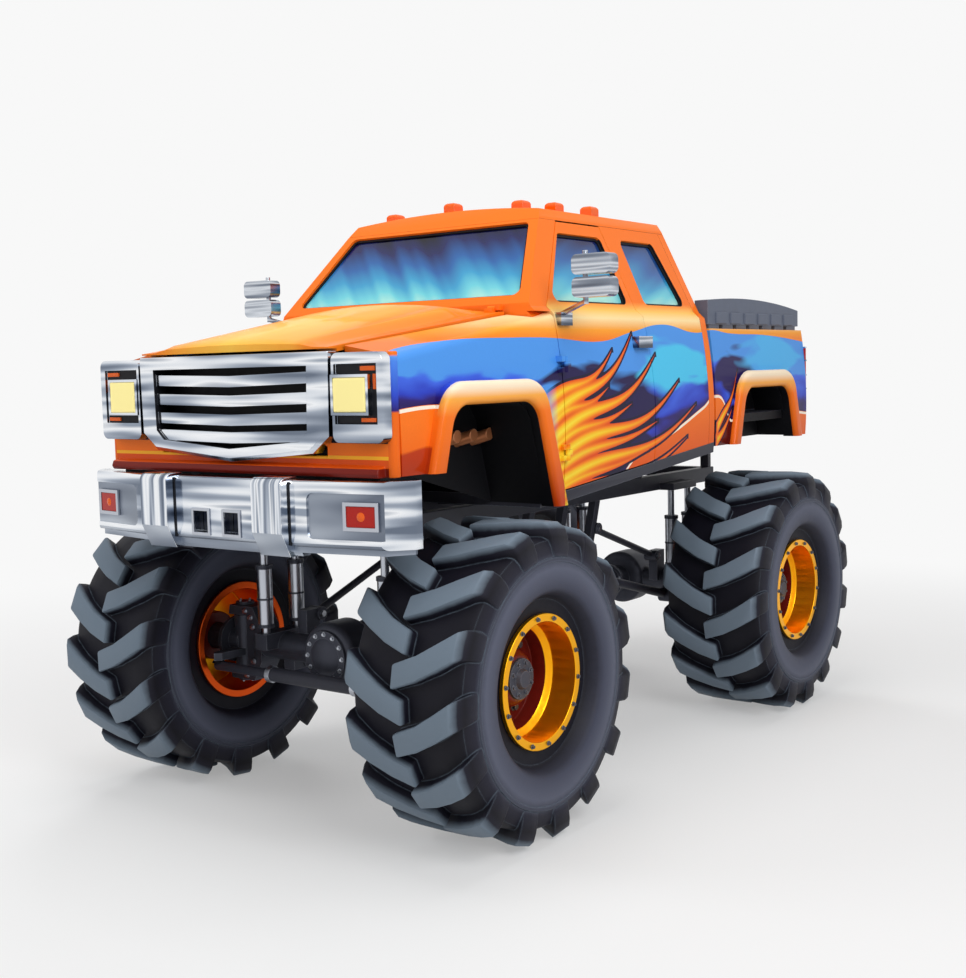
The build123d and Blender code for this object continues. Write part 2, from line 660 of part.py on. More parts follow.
with BuildPart() as doors:
    add(cab_outer.part)
    add(cab_hollow.part, mode=Mode.SUBTRACT)
    add(door_tool(0), mode=Mode.INTERSECT)
    add([door_hole, flipped(door_hole)], mode=Mode.SUBTRACT)
left_door = doors.part.solids().sort_by(Axis.Y)[-1]
for side, left in SIDES.items():
    with BuildPart() as door:
        add(left_door)
        for z in DOOR_HINGE_Z:
            low, high = z - 15, z + 15
            add(block(DOOR_FRONT - 42, DOOR_FRONT, SIDE_Y - 32, DOOR_HINGE_Y + 4, low, high))
            add(block(DOOR_FRONT - 5, DOOR_HINGE_X, SIDE_Y + 4, DOOR_HINGE_Y + 4, low, high))
            add(rod((DOOR_HINGE_X, DOOR_HINGE_Y, low), (DOOR_HINGE_X, DOOR_HINGE_Y, high), HINGE_BARREL))
            bore = (DOOR_HINGE_X, DOOR_HINGE_Y, low - 5), (DOOR_HINGE_X, DOOR_HINGE_Y, high + 5)
            add(rod(*bore, HINGE_PIN + SEAT_GAP), mode=Mode.SUBTRACT)
        if left < 0:
            mirror(about=Plane.XZ, mode=Mode.REPLACE)
    write(door.part, f"door_{side}")
    with BuildPart() as door_glass:
        add(glass(side_plane, DOOR_OUTLINE) if left > 0 else flipped(glass(side_plane, DOOR_OUTLINE)))
    write(door_glass.part, f"door_glass_{side}")

# The rest of the cab; ahead of the doors its sides step in, so that the fenders lap over it
FENDER_LAP_Z = 2772
with BuildPart() as lap:
    add(block(DOOR_FRONT + PANEL_GAP / 2, CAB_FRONT + 20, -SIDE_Y - 50, SIDE_Y + 50, 1500, FENDER_LAP_Z))
    add(cab_section(SKIN + PANEL_GAP), mode=Mode.SUBTRACT)
with BuildPart() as cab_shell:
    add(cab_outer.part)
    add(cab_hollow.part, mode=Mode.SUBTRACT)
    add(door_tool(PANEL_GAP), mode=Mode.SUBTRACT)
    add([quarter_hole, flipped(quarter_hole)], mode=Mode.SUBTRACT)
    add(hole(screen_plane, SCREEN_OUTLINE), mode=Mode.SUBTRACT)
    add(hole(back_plane, BACK_OUTLINE), mode=Mode.SUBTRACT)
    add(lap.part, mode=Mode.SUBTRACT)

roof_low = DOOR_TOP_Z + PANEL_GAP
floor_rise = CAB_WALL + 3  # past the hollow, so that no thin sheet stays
wide = -1500, 1500
ROOF_REGION = (
    (CAB_REAR - 50, roof_low),
    (CAB_FRONT + 50, roof_low),
    (CAB_FRONT + 50, TOP_Z + 50),
    (CAB_REAR - 50, TOP_Z + 50),
)
FLOOR_REGION = (
    (CAB_REAR, sill_z(CAB_REAR) - 50),
    (CAB_FRONT, sill_z(CAB_FRONT) - 50),
    (CAB_FRONT, sill_z(CAB_FRONT) + floor_rise),
    (CAB_REAR, sill_z(CAB_REAR) + floor_rise),
)
FRONT_REGION = (
    (DOOR_FRONT - 150, sill_z(DOOR_FRONT - 150) + floor_rise),
    (CAB_FRONT + 50, sill_z(CAB_FRONT + 50) + floor_rise),
    (CAB_FRONT + 50, roof_low),
    (screen_x(roof_low) - PILLAR_DEPTH - 60, roof_low),
    (DOOR_FRONT - 150, BELT_Z),
)
back_inner = CAB_REAR + CAB_WALL + 12
back_top = back_inner + (BACK_TOP_X - CAB_REAR) * (roof_low - BELT_Z) / (TOP_Z - BELT_Z)
BACK_REGION = (
    (CAB_REAR - 50, sill_z(CAB_REAR - 50) + floor_rise),
    (back_inner, sill_z(back_inner) + floor_rise),
    (back_inner, BELT_Z),
    (back_top, roof_low),
    (CAB_REAR - 50, roof_low),
)
SIDE_REGION = (
    (back_inner, sill_z(back_inner) + floor_rise),
    (DOOR_FRONT - 150, sill_z(DOOR_FRONT - 150) + floor_rise),
    (DOOR_FRONT - 150, BELT_Z),
    (0, roof_low),
    (back_top, roof_low),
    (back_inner, BELT_Z),
)
regions = {
    "cab_roof": ROOF_REGION,
    "cab_floor": FLOOR_REGION,
    "cab_front": FRONT_REGION,
    "cab_back": BACK_REGION,
    "cab_sides": SIDE_REGION,
}
for name, region in regions.items():
    with BuildPart() as panel:
        add(cab_shell.part)
        add(along_y(region, *wide), mode=Mode.INTERSECT)
        if name == "cab_front":
            for left in SIDES.values():
                inner, middle, outer = (left * y for y in HOOD_HINGE_Y)
                add(rod((HOOD_REAR, inner, HOOD_HINGE_Z), (HOOD_REAR, outer, HOOD_HINGE_Z), HINGE_PIN))
                bracket_z = HOOD_HINGE_Z - 14, HOOD_HINGE_Z + 14
                add(block(CAB_FRONT - 20, HOOD_REAR + 12, middle + left * 0.6, outer, *bracket_z))
    write(panel.part, name)

with BuildPart() as cab_glass:
    quarter = glass(side_plane, QUARTER_OUTLINE)
    add([glass(screen_plane, SCREEN_OUTLINE), glass(back_plane, BACK_OUTLINE), quarter, flipped(quarter)])
write(cab_glass.part, "cab_glass")

# Wheel arches: an opening with sloping legs, and a flare around it
ARCH_TOP_Z = 2275
ARCH_HALF_LOW = 550
ARCH_HALF_HIGH = 365
FLARE_BAND = 122
FLARE_REACH = 55
FRONT_ARCH_X = 1548
REAR_ARCH_X = -1800


def arch(x, grow, y0, y1):
    """An arch outline around x, grown by a band and extruded from y0 to y1."""
    low, high, top = ARCH_HALF_LOW + grow, ARCH_HALF_HIGH + 0.62 * grow, ARCH_TOP_Z + grow
    with BuildPart() as tool:
        with BuildSketch(Plane(origin=(x, y0, 0), x_dir=(1, 0, 0), z_dir=(0, -1, 0))) as outline:
            with BuildLine():
                Polyline((-low, SIDE_LOW_Z), (-high, top), (high, top), (low, SIDE_LOW_Z), close=True)
            make_face()
            fillet(outline.vertices().group_by(Axis.Y)[-1], 150 + grow / 2)
        extrude(amount=y0 - y1)
    return tool.part


def flare(x):
    """The raised band around an arch on the left side."""
    with BuildPart() as band:
        add(arch(x, FLARE_BAND, SIDE_Y - SKIN, SIDE_Y + FLARE_REACH))
        add(arch(x, 0, 0, SIDE_Y + 200), mode=Mode.SUBTRACT)
        outer = band.faces().sort_by(Axis.Y)[-1].edges()
        fillet(outer.filter_by(lambda edge: edge.center().Z > SIDE_LOW_Z + 10), 34)
    return band.part


# Fenders: a front and a rear section joined straight, cut by the arch
FENDER_FRONT = NOSE_X - 50
FENDER_REAR = DOOR_FRONT + PANEL_GAP
HOOD_HALF_FRONT = 700
HOOD_HALF_REAR = 800
HOOD_EDGE_FRONT_Z = 2590
HOOD_EDGE_REAR_Z = 2775
# Rows: front and rear section; columns: low, middle and high point of the side, inner end of the top
FENDER_SECTIONS = {
    FENDER_FRONT: (
        (SIDE_Y - 40, SIDE_LOW_Z),
        (SIDE_Y - 13, 2200),
        (SIDE_Y - 40, HOOD_EDGE_FRONT_Z - 60),
        (HOOD_HALF_FRONT + 16, HOOD_EDGE_FRONT_Z - 2),
    ),
    FENDER_REAR: (SIDE_LOW, SIDE_MID, SIDE_HIGH, (HOOD_HALF_REAR + 22, HOOD_EDGE_REAR_Z + 5)),
}
FENDER_FOOT_FRONT = PANEL_LOW + 5
with BuildPart() as cab_nose:
    add(cab_section(SKIN + 2))
    add(block(0, CAB_FRONT + PANEL_GAP, *wide, 0, ROOF_Z), mode=Mode.INTERSECT)
with BuildPart() as left_fender:
    for x, (low, middle, high, inner) in FENDER_SECTIONS.items():
        with BuildSketch(Plane(origin=(x, 0, 0), x_dir=(0, 1, 0), z_dir=(1, 0, 0))):
            with BuildLine():
                ThreePointArc(low, middle, high)
                high_in, low_in = (high[0] - SKIN, high[1] - SKIN), (low[0] - SKIN, low[1])
                Polyline(high, inner, (inner[0], inner[1] - SKIN), high_in)
                ThreePointArc(high_in, (middle[0] - SKIN, middle[1]), low_in)
                Line(low_in, low)
            make_face()
    loft(ruled=True)
    crown = ((FENDER_FRONT + FENDER_REAR) / 2, SIDE_Y - 53, (HOOD_EDGE_FRONT_Z + SIDE_HIGH[1]) / 2 - 30)
    fillet(left_fender.edges().sort_by_distance(crown)[0], 55)
    add(flare(FRONT_ARCH_X))
    add(arch(FRONT_ARCH_X, 0, 0, SIDE_Y + 200), mode=Mode.SUBTRACT)
    add(block(FRONT_ARCH_X, NOSE_X, 0, SIDE_Y + 200, 1500, FENDER_FOOT_FRONT), mode=Mode.SUBTRACT)
    add(block(0, FRONT_ARCH_X, 0, SIDE_Y + 200, 1500, SILL_FRONT_Z + 12), mode=Mode.SUBTRACT)
    add(cab_nose.part, mode=Mode.SUBTRACT)
    for z in DOOR_HINGE_Z:
        ends = (DOOR_HINGE_X, DOOR_HINGE_Y, z - 46), (DOOR_HINGE_X, DOOR_HINGE_Y, z + 46)
        add(rod(*ends, HINGE_PIN))
        for low in (z - 46, z + 16):
            high = low + 30
            add(block(FENDER_REAR, FENDER_REAR + 42, SIDE_Y - 32, DOOR_HINGE_Y + 4, low, high))
            add(block(DOOR_HINGE_X, FENDER_REAR + 5, SIDE_Y + 4, DOOR_HINGE_Y + 4, low, high))
            add(rod((DOOR_HINGE_X, DOOR_HINGE_Y, low), (DOOR_HINGE_X, DOOR_HINGE_Y, high), HINGE_BARREL))
with BuildPart() as fenders:
    add([left_fender.part, flipped(left_fender.part)])
write(fenders.part, "fenders")

# Hood: sections with a raised, domed middle, and a deep front lip
HOOD_DOME_FRONT_Z = 2642
HOOD_CREST_X = 1260
HOOD_CREST_Z = 2842
HOOD_REAR_Z = 2800
HOOD_LIP_Z = 2574
HOOD_LIP = 60
# The step up to the raised middle
HOOD_STEP_FOOT = 0.84  # share of the half width
HOOD_STEP_HEAD = 0.72
HOOD_STEP_LIFT = 4
HOOD_STEP_SHARE = 0.62  # of the rise to the dome


def hood_section(plane, half, edge_z, dome_z, under=None):
    """A hood section from its half width, edge height, dome height and the height of a flat underside."""
    step_z = edge_z + HOOD_STEP_SHARE * (dome_z - edge_z)

    def side(sign, drop):
        foot = (sign * HOOD_STEP_FOOT * half, edge_z + HOOD_STEP_LIFT - drop)
        return (sign * half, edge_z - drop), foot, (sign * HOOD_STEP_HEAD * half, step_z - drop)

    with BuildSketch(plane) as face:
        with BuildLine():
            left, right = side(1, 0), side(-1, 0)
            Polyline(*left)
            ThreePointArc(left[-1], (0, dome_z), right[-1])
            Polyline(*reversed(right))
            if under:
                Polyline(right[0], (-half, under), (half, under), left[0])
            else:
                low_left, low_right = side(1, SKIN), side(-1, SKIN)
                Polyline(right[0], *low_right)
                ThreePointArc(low_right[-1], (0, dome_z - SKIN), low_left[-1])
                Polyline(*reversed(low_left), left[0])
        make_face()
    return face.sketch


def across(x):
    """A plane across the truck, facing forward."""
    return Plane(origin=(x, 0, 0), x_dir=(0, 1, 0), z_dir=(1, 0, 0))


with BuildPart() as hood:
    half, edge_z, dome_z = HOOD_HALF_FRONT, HOOD_EDGE_FRONT_Z, HOOD_DOME_FRONT_Z
    rear = hood_section(across(HOOD_REAR), HOOD_HALF_REAR, HOOD_EDGE_REAR_Z, HOOD_REAR_Z)
    share = (HOOD_FRONT - HOOD_LIP - HOOD_CREST_X) / (HOOD_FRONT - HOOD_LIP - HOOD_REAR)
    crest_half = half + (HOOD_HALF_REAR - half) * share
    crest_edge = edge_z + (HOOD_EDGE_REAR_Z - edge_z) * share
    crest = hood_section(across(HOOD_CREST_X), crest_half, crest_edge, HOOD_CREST_Z)
    fore = hood_section(across(HOOD_FRONT - HOOD_LIP), half, edge_z, dome_z)
    loft([rear, crest, fore], ruled=True)
    lip_rear = hood_section(across(HOOD_FRONT - HOOD_LIP), half, edge_z, dome_z, HOOD_LIP_Z)
    lip_fore = hood_section(across(HOOD_FRONT), half, edge_z - 8, dome_z - 30, HOOD_LIP_Z)
    loft([lip_rear, lip_fore], ruled=True)
    for left in SIDES.values():
        y0, y1 = left * HOOD_HINGE_Y[0], left * HOOD_HINGE_Y[1]
        add(block(HOOD_REAR, HOOD_REAR + 40, y0, y1, HOOD_EDGE_REAR_Z - 12, HOOD_HINGE_Z))
        add(rod((HOOD_REAR, y0, HOOD_HINGE_Z), (HOOD_REAR, y1, HOOD_HINGE_Z), HINGE_BARREL - 2))
        bore = (HOOD_REAR, y0 - left, HOOD_HINGE_Z), (HOOD_REAR, y1 + left, HOOD_HINGE_Z)
        add(rod(*bore, HINGE_PIN + SEAT_GAP), mode=Mode.SUBTRACT)
write(hood.part, "hood")

# Front panel: a plate between the fenders and the lamps, and the bulging valance under the grille
GRILLE_HALF = 705
GRILLE_TOP = 2562
PANEL_HIGH = HOOD_EDGE_FRONT_Z - SKIN - PANEL_GAP
PANEL_OPENING = (-620, 620, 2040, GRILLE_TOP + 10)
# Columns: reach ahead of the panel, height above its underside
VALANCE = ((0, 0), (50, 0), (62, 20), (50, 50), (0, 57))
with BuildPart() as front_panel:
    half = SIDE_Y - 17
    add(block(FENDER_FRONT, NOSE_X, -half, half, PANEL_LOW, PANEL_HIGH))
    fillet(front_panel.edges().filter_by(Axis.Z).sort_by(Axis.X)[-2:], 30)
    add(block(FENDER_FRONT - 10, NOSE_X + 10, *PANEL_OPENING), mode=Mode.SUBTRACT)
    valance = [(NOSE_X + reach, PANEL_LOW + rise) for reach, rise in VALANCE]
    add(along_y(valance, 60 - half, half - 60))
write(front_panel.part, "front_panel")

RADIATOR = (-660, 660, 2000, 2540)
RADIATOR_DEPTH = 70
with BuildPart() as radiator:
    add(block(FENDER_FRONT - RADIATOR_DEPTH, FENDER_FRONT, *RADIATOR))
write(radiator.part, "radiator")

# Grille: a surround with a pointed foot and four bars that dip in the middle
GRILLE_OUTLINE = ((GRILLE_HALF, GRILLE_TOP), (GRILLE_HALF - 10, 2140), (GRILLE_HALF - 120, 2055), (0, 2002))
GRILLE_OPENING = ((575, 2492), (565, 2165), (510, 2115), (0, 2072))
GRILLE_BARS = (2424, 2322, 2222, 2130)
GRILLE_FACE = 2425


def both_ways(points):
    """Half an outline in (y, z), completed on the other side."""
    return (*points, *((-y, z) for y, z in reversed(points) if y))


with BuildPart() as grille:
    add(along_x(both_ways(GRILLE_OUTLINE), NOSE_X, GRILLE_FACE))
    chamfer(grille.faces().sort_by(Axis.X)[-1].edges(), 22)
    add(along_x(both_ways(GRILLE_OPENING), NOSE_X - 1, GRILLE_FACE + 1), mode=Mode.SUBTRACT)
    for z in GRILLE_BARS:
        bar = ((590, z + 42), (0, z + 28), (-590, z + 42), (-590, z - 18), (0, z - 32), (590, z - 18))
        add(along_x(bar, NOSE_X + 25, GRILLE_FACE - 20))
write(grille.part, "grille")

# Headlamps beside the grille: a rounded housing, a recess around the lens and the lens in a raised ring
LAMP_Y = (722, 1052)
LAMP_Z = (2112, 2552)
LAMP_ROUND = 40
RECESS_Y = (740, 1014)
RECESS_Z = (2204, 2496)
RECESS = 18
LENS_Y = (744, 956)
LENS_Z = (2262, 2430)
LENS_RING = 16  # width, and how far the ring stands out
LAMP_FACE = 2405
LENS_BACK = NOSE_X + 30
with BuildPart() as left_bezel:
    add(block(NOSE_X, LAMP_FACE, *LAMP_Y, *LAMP_Z))
    fillet(left_bezel.edges().filter_by(Axis.X), LAMP_ROUND)
    add(block(LAMP_FACE - RECESS, LAMP_FACE + 10, *RECESS_Y, *RECESS_Z), mode=Mode.SUBTRACT)
    ring_y = LENS_Y[0] - LENS_RING, LENS_Y[1] + LENS_RING
    ring_z = LENS_Z[0] - LENS_RING, LENS_Z[1] + LENS_RING
    add(block(LENS_BACK, LAMP_FACE + LENS_RING, *ring_y, *ring_z))
    add(block(LENS_BACK, LAMP_FACE + 2 * LENS_RING, *LENS_Y, *LENS_Z), mode=Mode.SUBTRACT)
with BuildPart() as headlamp_bezels:
    add([left_bezel.part, flipped(left_bezel.part)])
write(headlamp_bezels.part, "headlamp_bezels")

with BuildPart() as left_lens:
    lens_front = LAMP_FACE + LENS_RING + 2
    add(block(LENS_BACK, lens_front, LENS_Y[0] + 1, LENS_Y[1] - 1, LENS_Z[0] + 1, LENS_Z[1] - 1))
    fillet(left_lens.faces().sort_by(Axis.X)[-1].edges(), 10)
with BuildPart() as headlamp_lenses:
    add([left_lens.part, flipped(left_lens.part)])
write(headlamp_lenses.part, "headlamp_lenses")

# Bumper: a swept-back bar with inset wings, a lower lip, an apron, two straps, two slots and lamp recesses
BUMPER_Z = (1600, 1932)
BUMPER_HALF = 1175
BUMPER_FACE = 2532
BUMPER_DEPTH = BUMPER_FACE - RAIL_FRONT
BUMPER_FLAT = 590  # half width of its straight middle
BUMPER_BEND = 1060
BUMPER_SWEEP = 75
BUMPER_ENDS = (200, 250)  # how far back the ends' corners are
BUMPER_LIP = 30
APRON_Z = 1548
APRON_HALF = 560
STRAP_Y = (318, 528)
STRAP_ROUND = 42
SLOT_Y = (62, 168)
SLOT_Z = (1640, 1752)
WING_Y = (640, 1100)
WING_Z = (1646, 1872)
WING_DEPTH = 14
MARKER_Y = (862, 1028)
MARKER_Z = (1708, 1814)
MARKER_BACK = 2405


def bumper_x(y):
    """Place of the bumper's front face along its swept-back part."""
    return BUMPER_FACE - BUMPER_SWEEP * (y - BUMPER_FLAT) / (BUMPER_BEND - BUMPER_FLAT)


def bumper_plan(inset):
    """The bumper's outline from above, with its front moved inward."""
    half, face = BUMPER_HALF - inset, BUMPER_FACE - inset
    back = BUMPER_FACE - BUMPER_DEPTH
    half_plan = (
        (face, 0),
        (face, BUMPER_FLAT),
        (face - BUMPER_SWEEP, BUMPER_BEND),
        (face - BUMPER_ENDS[0], half),
        (BUMPER_FACE - BUMPER_ENDS[1], half),
        (back - BUMPER_SWEEP, BUMPER_BEND),
        (back, BUMPER_FLAT),
        (back, 0),
    )
    return (*half_plan, *((x, -y) for x, y in reversed(half_plan) if y))


with BuildPart() as left_strap:
    with BuildSketch(Plane(origin=(0, STRAP_Y[0], 0), x_dir=(1, 0, 0), z_dir=(0, -1, 0))) as profile:
        with BuildLine():
            Polyline(
                (BUMPER_FACE - 60, BUMPER_Z[1] + 14),
                (TRUCK_END, BUMPER_Z[1] + 14),
                (TRUCK_END, BUMPER_Z[0] + 70),
                (BUMPER_FACE, APRON_Z),
                (BUMPER_FACE - 80, APRON_Z),
                close=True,
            )
        make_face()
        fillet(profile.vertices().group_by(Axis.X)[-1], STRAP_ROUND)
    extrude(amount=STRAP_Y[0] - STRAP_Y[1])

with BuildPart() as left_wing:
    front = [(bumper_x(y) + 100, y) for y in WING_Y]
    back = [(bumper_x(y) - WING_DEPTH, y) for y in reversed(WING_Y)]
    add(slab(Plane.XY.offset(WING_Z[0]), (*front, *back), WING_Z[1] - WING_Z[0]))
    fillet(left_wing.edges().filter_by(lambda edge: abs(edge.tangent_at(0.5).X) > 0.9), 36)

with BuildPart() as bumper:
    add(slab(Plane.XY.offset(BUMPER_Z[0]), bumper_plan(0), BUMPER_Z[1] - BUMPER_Z[0]))
    faces = bumper.faces().filter_by(Axis.Z)
    front_edges = faces.edges().filter_by(lambda edge: edge.center().X > BUMPER_FACE - 90)
    fillet(front_edges, 30)
    add(slab(Plane.XY.offset(BUMPER_Z[0] - BUMPER_LIP), bumper_plan(35), BUMPER_LIP))
    apron = (
        (RAIL_FRONT, BUMPER_Z[0]),
        (BUMPER_FACE - 35, BUMPER_Z[0]),
        (BUMPER_FACE - 60, APRON_Z),
        (RAIL_FRONT, APRON_Z),
    )
    add(along_y(apron, -APRON_HALF, APRON_HALF))
    add([left_wing.part, flipped(left_wing.part)], mode=Mode.SUBTRACT)
    add([left_strap.part, flipped(left_strap.part)])
    for left in SIDES.values():
        slot_y = left * SLOT_Y[0], left * SLOT_Y[1]
        marker_y = left * MARKER_Y[0], left * MARKER_Y[1]
        add(block(RAIL_FRONT - 50, BUMPER_FACE + 50, *slot_y, *SLOT_Z), mode=Mode.SUBTRACT)
        add(block(MARKER_BACK, BUMPER_FACE + 50, *marker_y, *MARKER_Z), mode=Mode.SUBTRACT)
write(bumper.part, "bumper")

# Bed: sides with their flares, a floor with the front wall, and the rail caps
BED_SIDE_HIGH = (SIDE_Y - 43, BED_TOP)
BED_FLANGE_Y = SIDE_Y - 175
TAILGATE = 52
TAILGATE_X = BED_REAR + 4 + TAILGATE
TAILGATE_HALF = SIDE_Y - 75
with BuildPart() as bed_wall:
    with BuildSketch(across(BED_REAR)):
        with BuildLine():
            ThreePointArc(SIDE_LOW, SIDE_MID, BED_SIDE_HIGH)
            Polyline(BED_SIDE_HIGH, (BED_FLANGE_Y, BED_TOP), (BED_FLANGE_Y, BED_TOP - BED_WALL))
            inner = (BED_SIDE_HIGH[0] - BED_WALL, BED_TOP - BED_WALL)
            Line((BED_FLANGE_Y, BED_TOP - BED_WALL), inner)
            low = (SIDE_LOW[0] - BED_WALL, SIDE_LOW[1])
            ThreePointArc(inner, (SIDE_MID[0] - BED_WALL, SIDE_MID[1]), low)
            Line(low, SIDE_LOW)
        make_face()
    extrude(amount=BED_FRONT - BED_REAR)
with BuildPart() as left_bed:
    add(bed_wall.part)
    add(flare(REAR_ARCH_X))
    add(arch(REAR_ARCH_X, 0, 0, SIDE_Y + 200), mode=Mode.SUBTRACT)
    add(block(BED_REAR - 50, BED_FRONT + 50, 0, SIDE_Y + 200, 1500, BED_LOW), mode=Mode.SUBTRACT)
    add(block(BED_REAR - 50, TAILGATE_X + 12, 0, TAILGATE_HALF + 12, 1500, BED_TOP + 50), mode=Mode.SUBTRACT)
    pin_x = TAILGATE_X - TAILGATE / 2
    pin = (pin_x, TAILGATE_HALF - 16, TAILGATE_HINGE_Z), (pin_x, SIDE_Y - 30, TAILGATE_HINGE_Z)
    add(rod(*pin, TAILGATE_PIN))
with BuildPart() as bed_sides:
    add([left_bed.part, flipped(left_bed.part)])
write(bed_sides.part, "bed_sides")

with BuildPart() as bed_floor:
    half = SIDE_Y - 20
    add(block(TAILGATE_X + 16, BED_FRONT, -half, half, BED_UNDERSIDE, BED_FLOOR_Z))
    add(block(BED_FRONT - BED_WALL, BED_FRONT, -half, half, BED_FLOOR_Z, BED_TOP - BED_WALL))
    add([bed_wall.part, flipped(bed_wall.part)], mode=Mode.SUBTRACT)
    bed_floor_solid = bed_floor.solids().sort_by(SortBy.VOLUME)[-1]
with BuildPart() as bed_floor_only:
    add(bed_floor_solid)
write(bed_floor_only.part, "bed_floor")

TAILGATE_INSET = (-700, 700, BED_FLOOR_Z + 100, BED_TOP - 130)
with BuildPart() as tailgate:
    tailgate_face = TAILGATE_X - TAILGATE
    add(block(tailgate_face, TAILGATE_X, -TAILGATE_HALF, TAILGATE_HALF, BED_FLOOR_Z + 8, BED_TOP - 4))
    add(block(tailgate_face, tailgate_face + 12, *TAILGATE_INSET), mode=Mode.SUBTRACT)
    for left in SIDES.values():
        y0, y1 = left * (TAILGATE_HALF - 20), left * (TAILGATE_HALF + 5)
        bore = (pin_x, y0, TAILGATE_HINGE_Z), (pin_x, y1, TAILGATE_HINGE_Z)
        add(rod(*bore, TAILGATE_PIN + SEAT_GAP), mode=Mode.SUBTRACT)
write(tailgate.part, "tailgate")

# Rail caps with a bowed top, on a row of feet
RAIL_CAP_Y = (SIDE_Y - 160, SIDE_Y - 60)
RAIL_CAP_LOW = BED_TOP + 30
RAIL_CAP_HEIGHTS = (165, 183, 120)  # front, middle, rear
RAIL_CAP_FEET = 7
RAIL_CAP_FOOT = 0.72  # share of the pitch
cap_front, cap_rear = BED_FRONT - 15, BED_REAR + 20
with BuildPart() as left_rail:
    with BuildSketch(Plane(origin=(0, RAIL_CAP_Y[0], 0), x_dir=(1, 0, 0), z_dir=(0, -1, 0))):
        with BuildLine():
            cap_x = (cap_front, (cap_front + cap_rear) / 2, cap_rear)
            crown = [(x, RAIL_CAP_LOW + height) for x, height in zip(cap_x, RAIL_CAP_HEIGHTS)]
            ThreePointArc(*crown)
            Polyline(crown[-1], (cap_rear, RAIL_CAP_LOW), (cap_front, RAIL_CAP_LOW), crown[0])
        make_face()
    extrude(amount=RAIL_CAP_Y[0] - RAIL_CAP_Y[1])
    foot_pitch = (cap_front - cap_rear) / RAIL_CAP_FEET
    foot_half = foot_pitch * RAIL_CAP_FOOT / 2
    foot_y = RAIL_CAP_Y[0] + 10, RAIL_CAP_Y[1] - 10
    for k in range(RAIL_CAP_FEET):
        x = cap_rear + foot_pitch * (k + 0.5)
        add(block(x - foot_half, x + foot_half, *foot_y, BED_TOP, RAIL_CAP_LOW))
with BuildPart() as bed_rails:
    add([left_rail.part, flipped(left_rail.part)])
write(bed_rails.part, "bed_rails")

# Lamps with red lenses: markers in the bumper and tail lamps on the bed
TAIL_Y = (SIDE_Y - 46, SIDE_Y - 8)
TAIL_Z = (2240, 2560)
MARKER_REACH = 10  # ahead of the inset wing
with BuildPart() as left_lamps:
    ends = MARKER_Y[0] + 1, MARKER_Y[1] - 1
    front = [(bumper_x(y) - WING_DEPTH + MARKER_REACH, y) for y in ends]
    back = [(MARKER_BACK, y) for y in reversed(ends)]
    add(slab(Plane.XY.offset(MARKER_Z[0] + 1), (*front, *back), MARKER_Z[1] - MARKER_Z[0] - 2))
    add(block(-TRUCK_END, BED_REAR, *TAIL_Y, *TAIL_Z))
with BuildPart() as red_lamps:
    add([left_lamps.part, flipped(left_lamps.part)])
write(red_lamps.part, "red_lamps")

# Inside the cab
firewall = CAB_FRONT - CAB_WALL
with BuildPart() as dashboard:
    dash = ((firewall, 2460), (firewall, 2780), (880, 2780), (745, 2735), (725, 2600), (800, 2460))
    add(along_y(dash, -855, 855))
write(dashboard.part, "dashboard")

WHEEL_TILT = Vector(-0.85, 0, 0.53).normalized()
STEERING_Y = 430
STEERING_RADIUS = 185
STEERING_RIM = 15
SPOKE = (30, 14)  # width, thickness
STEERING_MIDDLE = Vector(600, STEERING_Y, 2745)
with BuildPart(Plane(origin=STEERING_MIDDLE, x_dir=(0, 1, 0), z_dir=WHEEL_TILT)) as wheel_ring:
    Torus(STEERING_RADIUS, STEERING_RIM)
    Cylinder(48, 26)
    Box(2 * STEERING_RADIUS, *SPOKE)
    with Locations((0, -STEERING_RADIUS / 2, 0)):
        Box(SPOKE[0], STEERING_RADIUS, SPOKE[1])
with BuildPart() as steering_wheel:
    add(wheel_ring.part)
    add(rod(STEERING_MIDDLE, STEERING_MIDDLE - 260 * WHEEL_TILT, 26))
    add(dashboard.part, mode=Mode.SUBTRACT)
    wheel_solid = steering_wheel.solids().sort_by(Axis.X)[0]
with BuildPart() as steering_wheel_only:
    add(wheel_solid)
write(steering_wheel_only.part, "steering_wheel")

SEAT_HALF = 240
SEAT_Y = 420
with BuildPart() as seats:
    for left in SIDES.values():
        profile = (
            (40, cab_floor_z(40)),
            (70, 2270),
            (-380, 2230),
            (-530, 2940),
            (-650, 2940),
            (-560, cab_floor_z(-560)),
        )
        add(along_y(profile, left * SEAT_Y - SEAT_HALF, left * SEAT_Y + SEAT_HALF))
write(seats.part, "seats")

# Trim on the doors: a two-headed mirror on a bent arm, and the handle
MIRROR_X = 872
MIRROR_Y = SIDE_Y + 225
MIRROR_HEAD = (90, 250, 112)
MIRROR_LOWS = (2836, 2962)
MIRROR_ROUND = 34
MIRROR_STEM = 15
MIRROR_FOOT = (715, 835, SIDE_Y - 145, SIDE_Y - 25, 2690, 2765)
HANDLE = (-150, 20, SIDE_Y - 60, SIDE_Y + 12, 2560, 2632)


def mirror_head(low):
    """One rounded head of the left mirror, standing on a height."""
    with BuildPart(Plane((MIRROR_X, MIRROR_Y, low + MIRROR_HEAD[2] / 2))) as head:
        Box(*MIRROR_HEAD)
        fillet(head.edges().filter_by(Axis.X), MIRROR_ROUND)
    return head.part


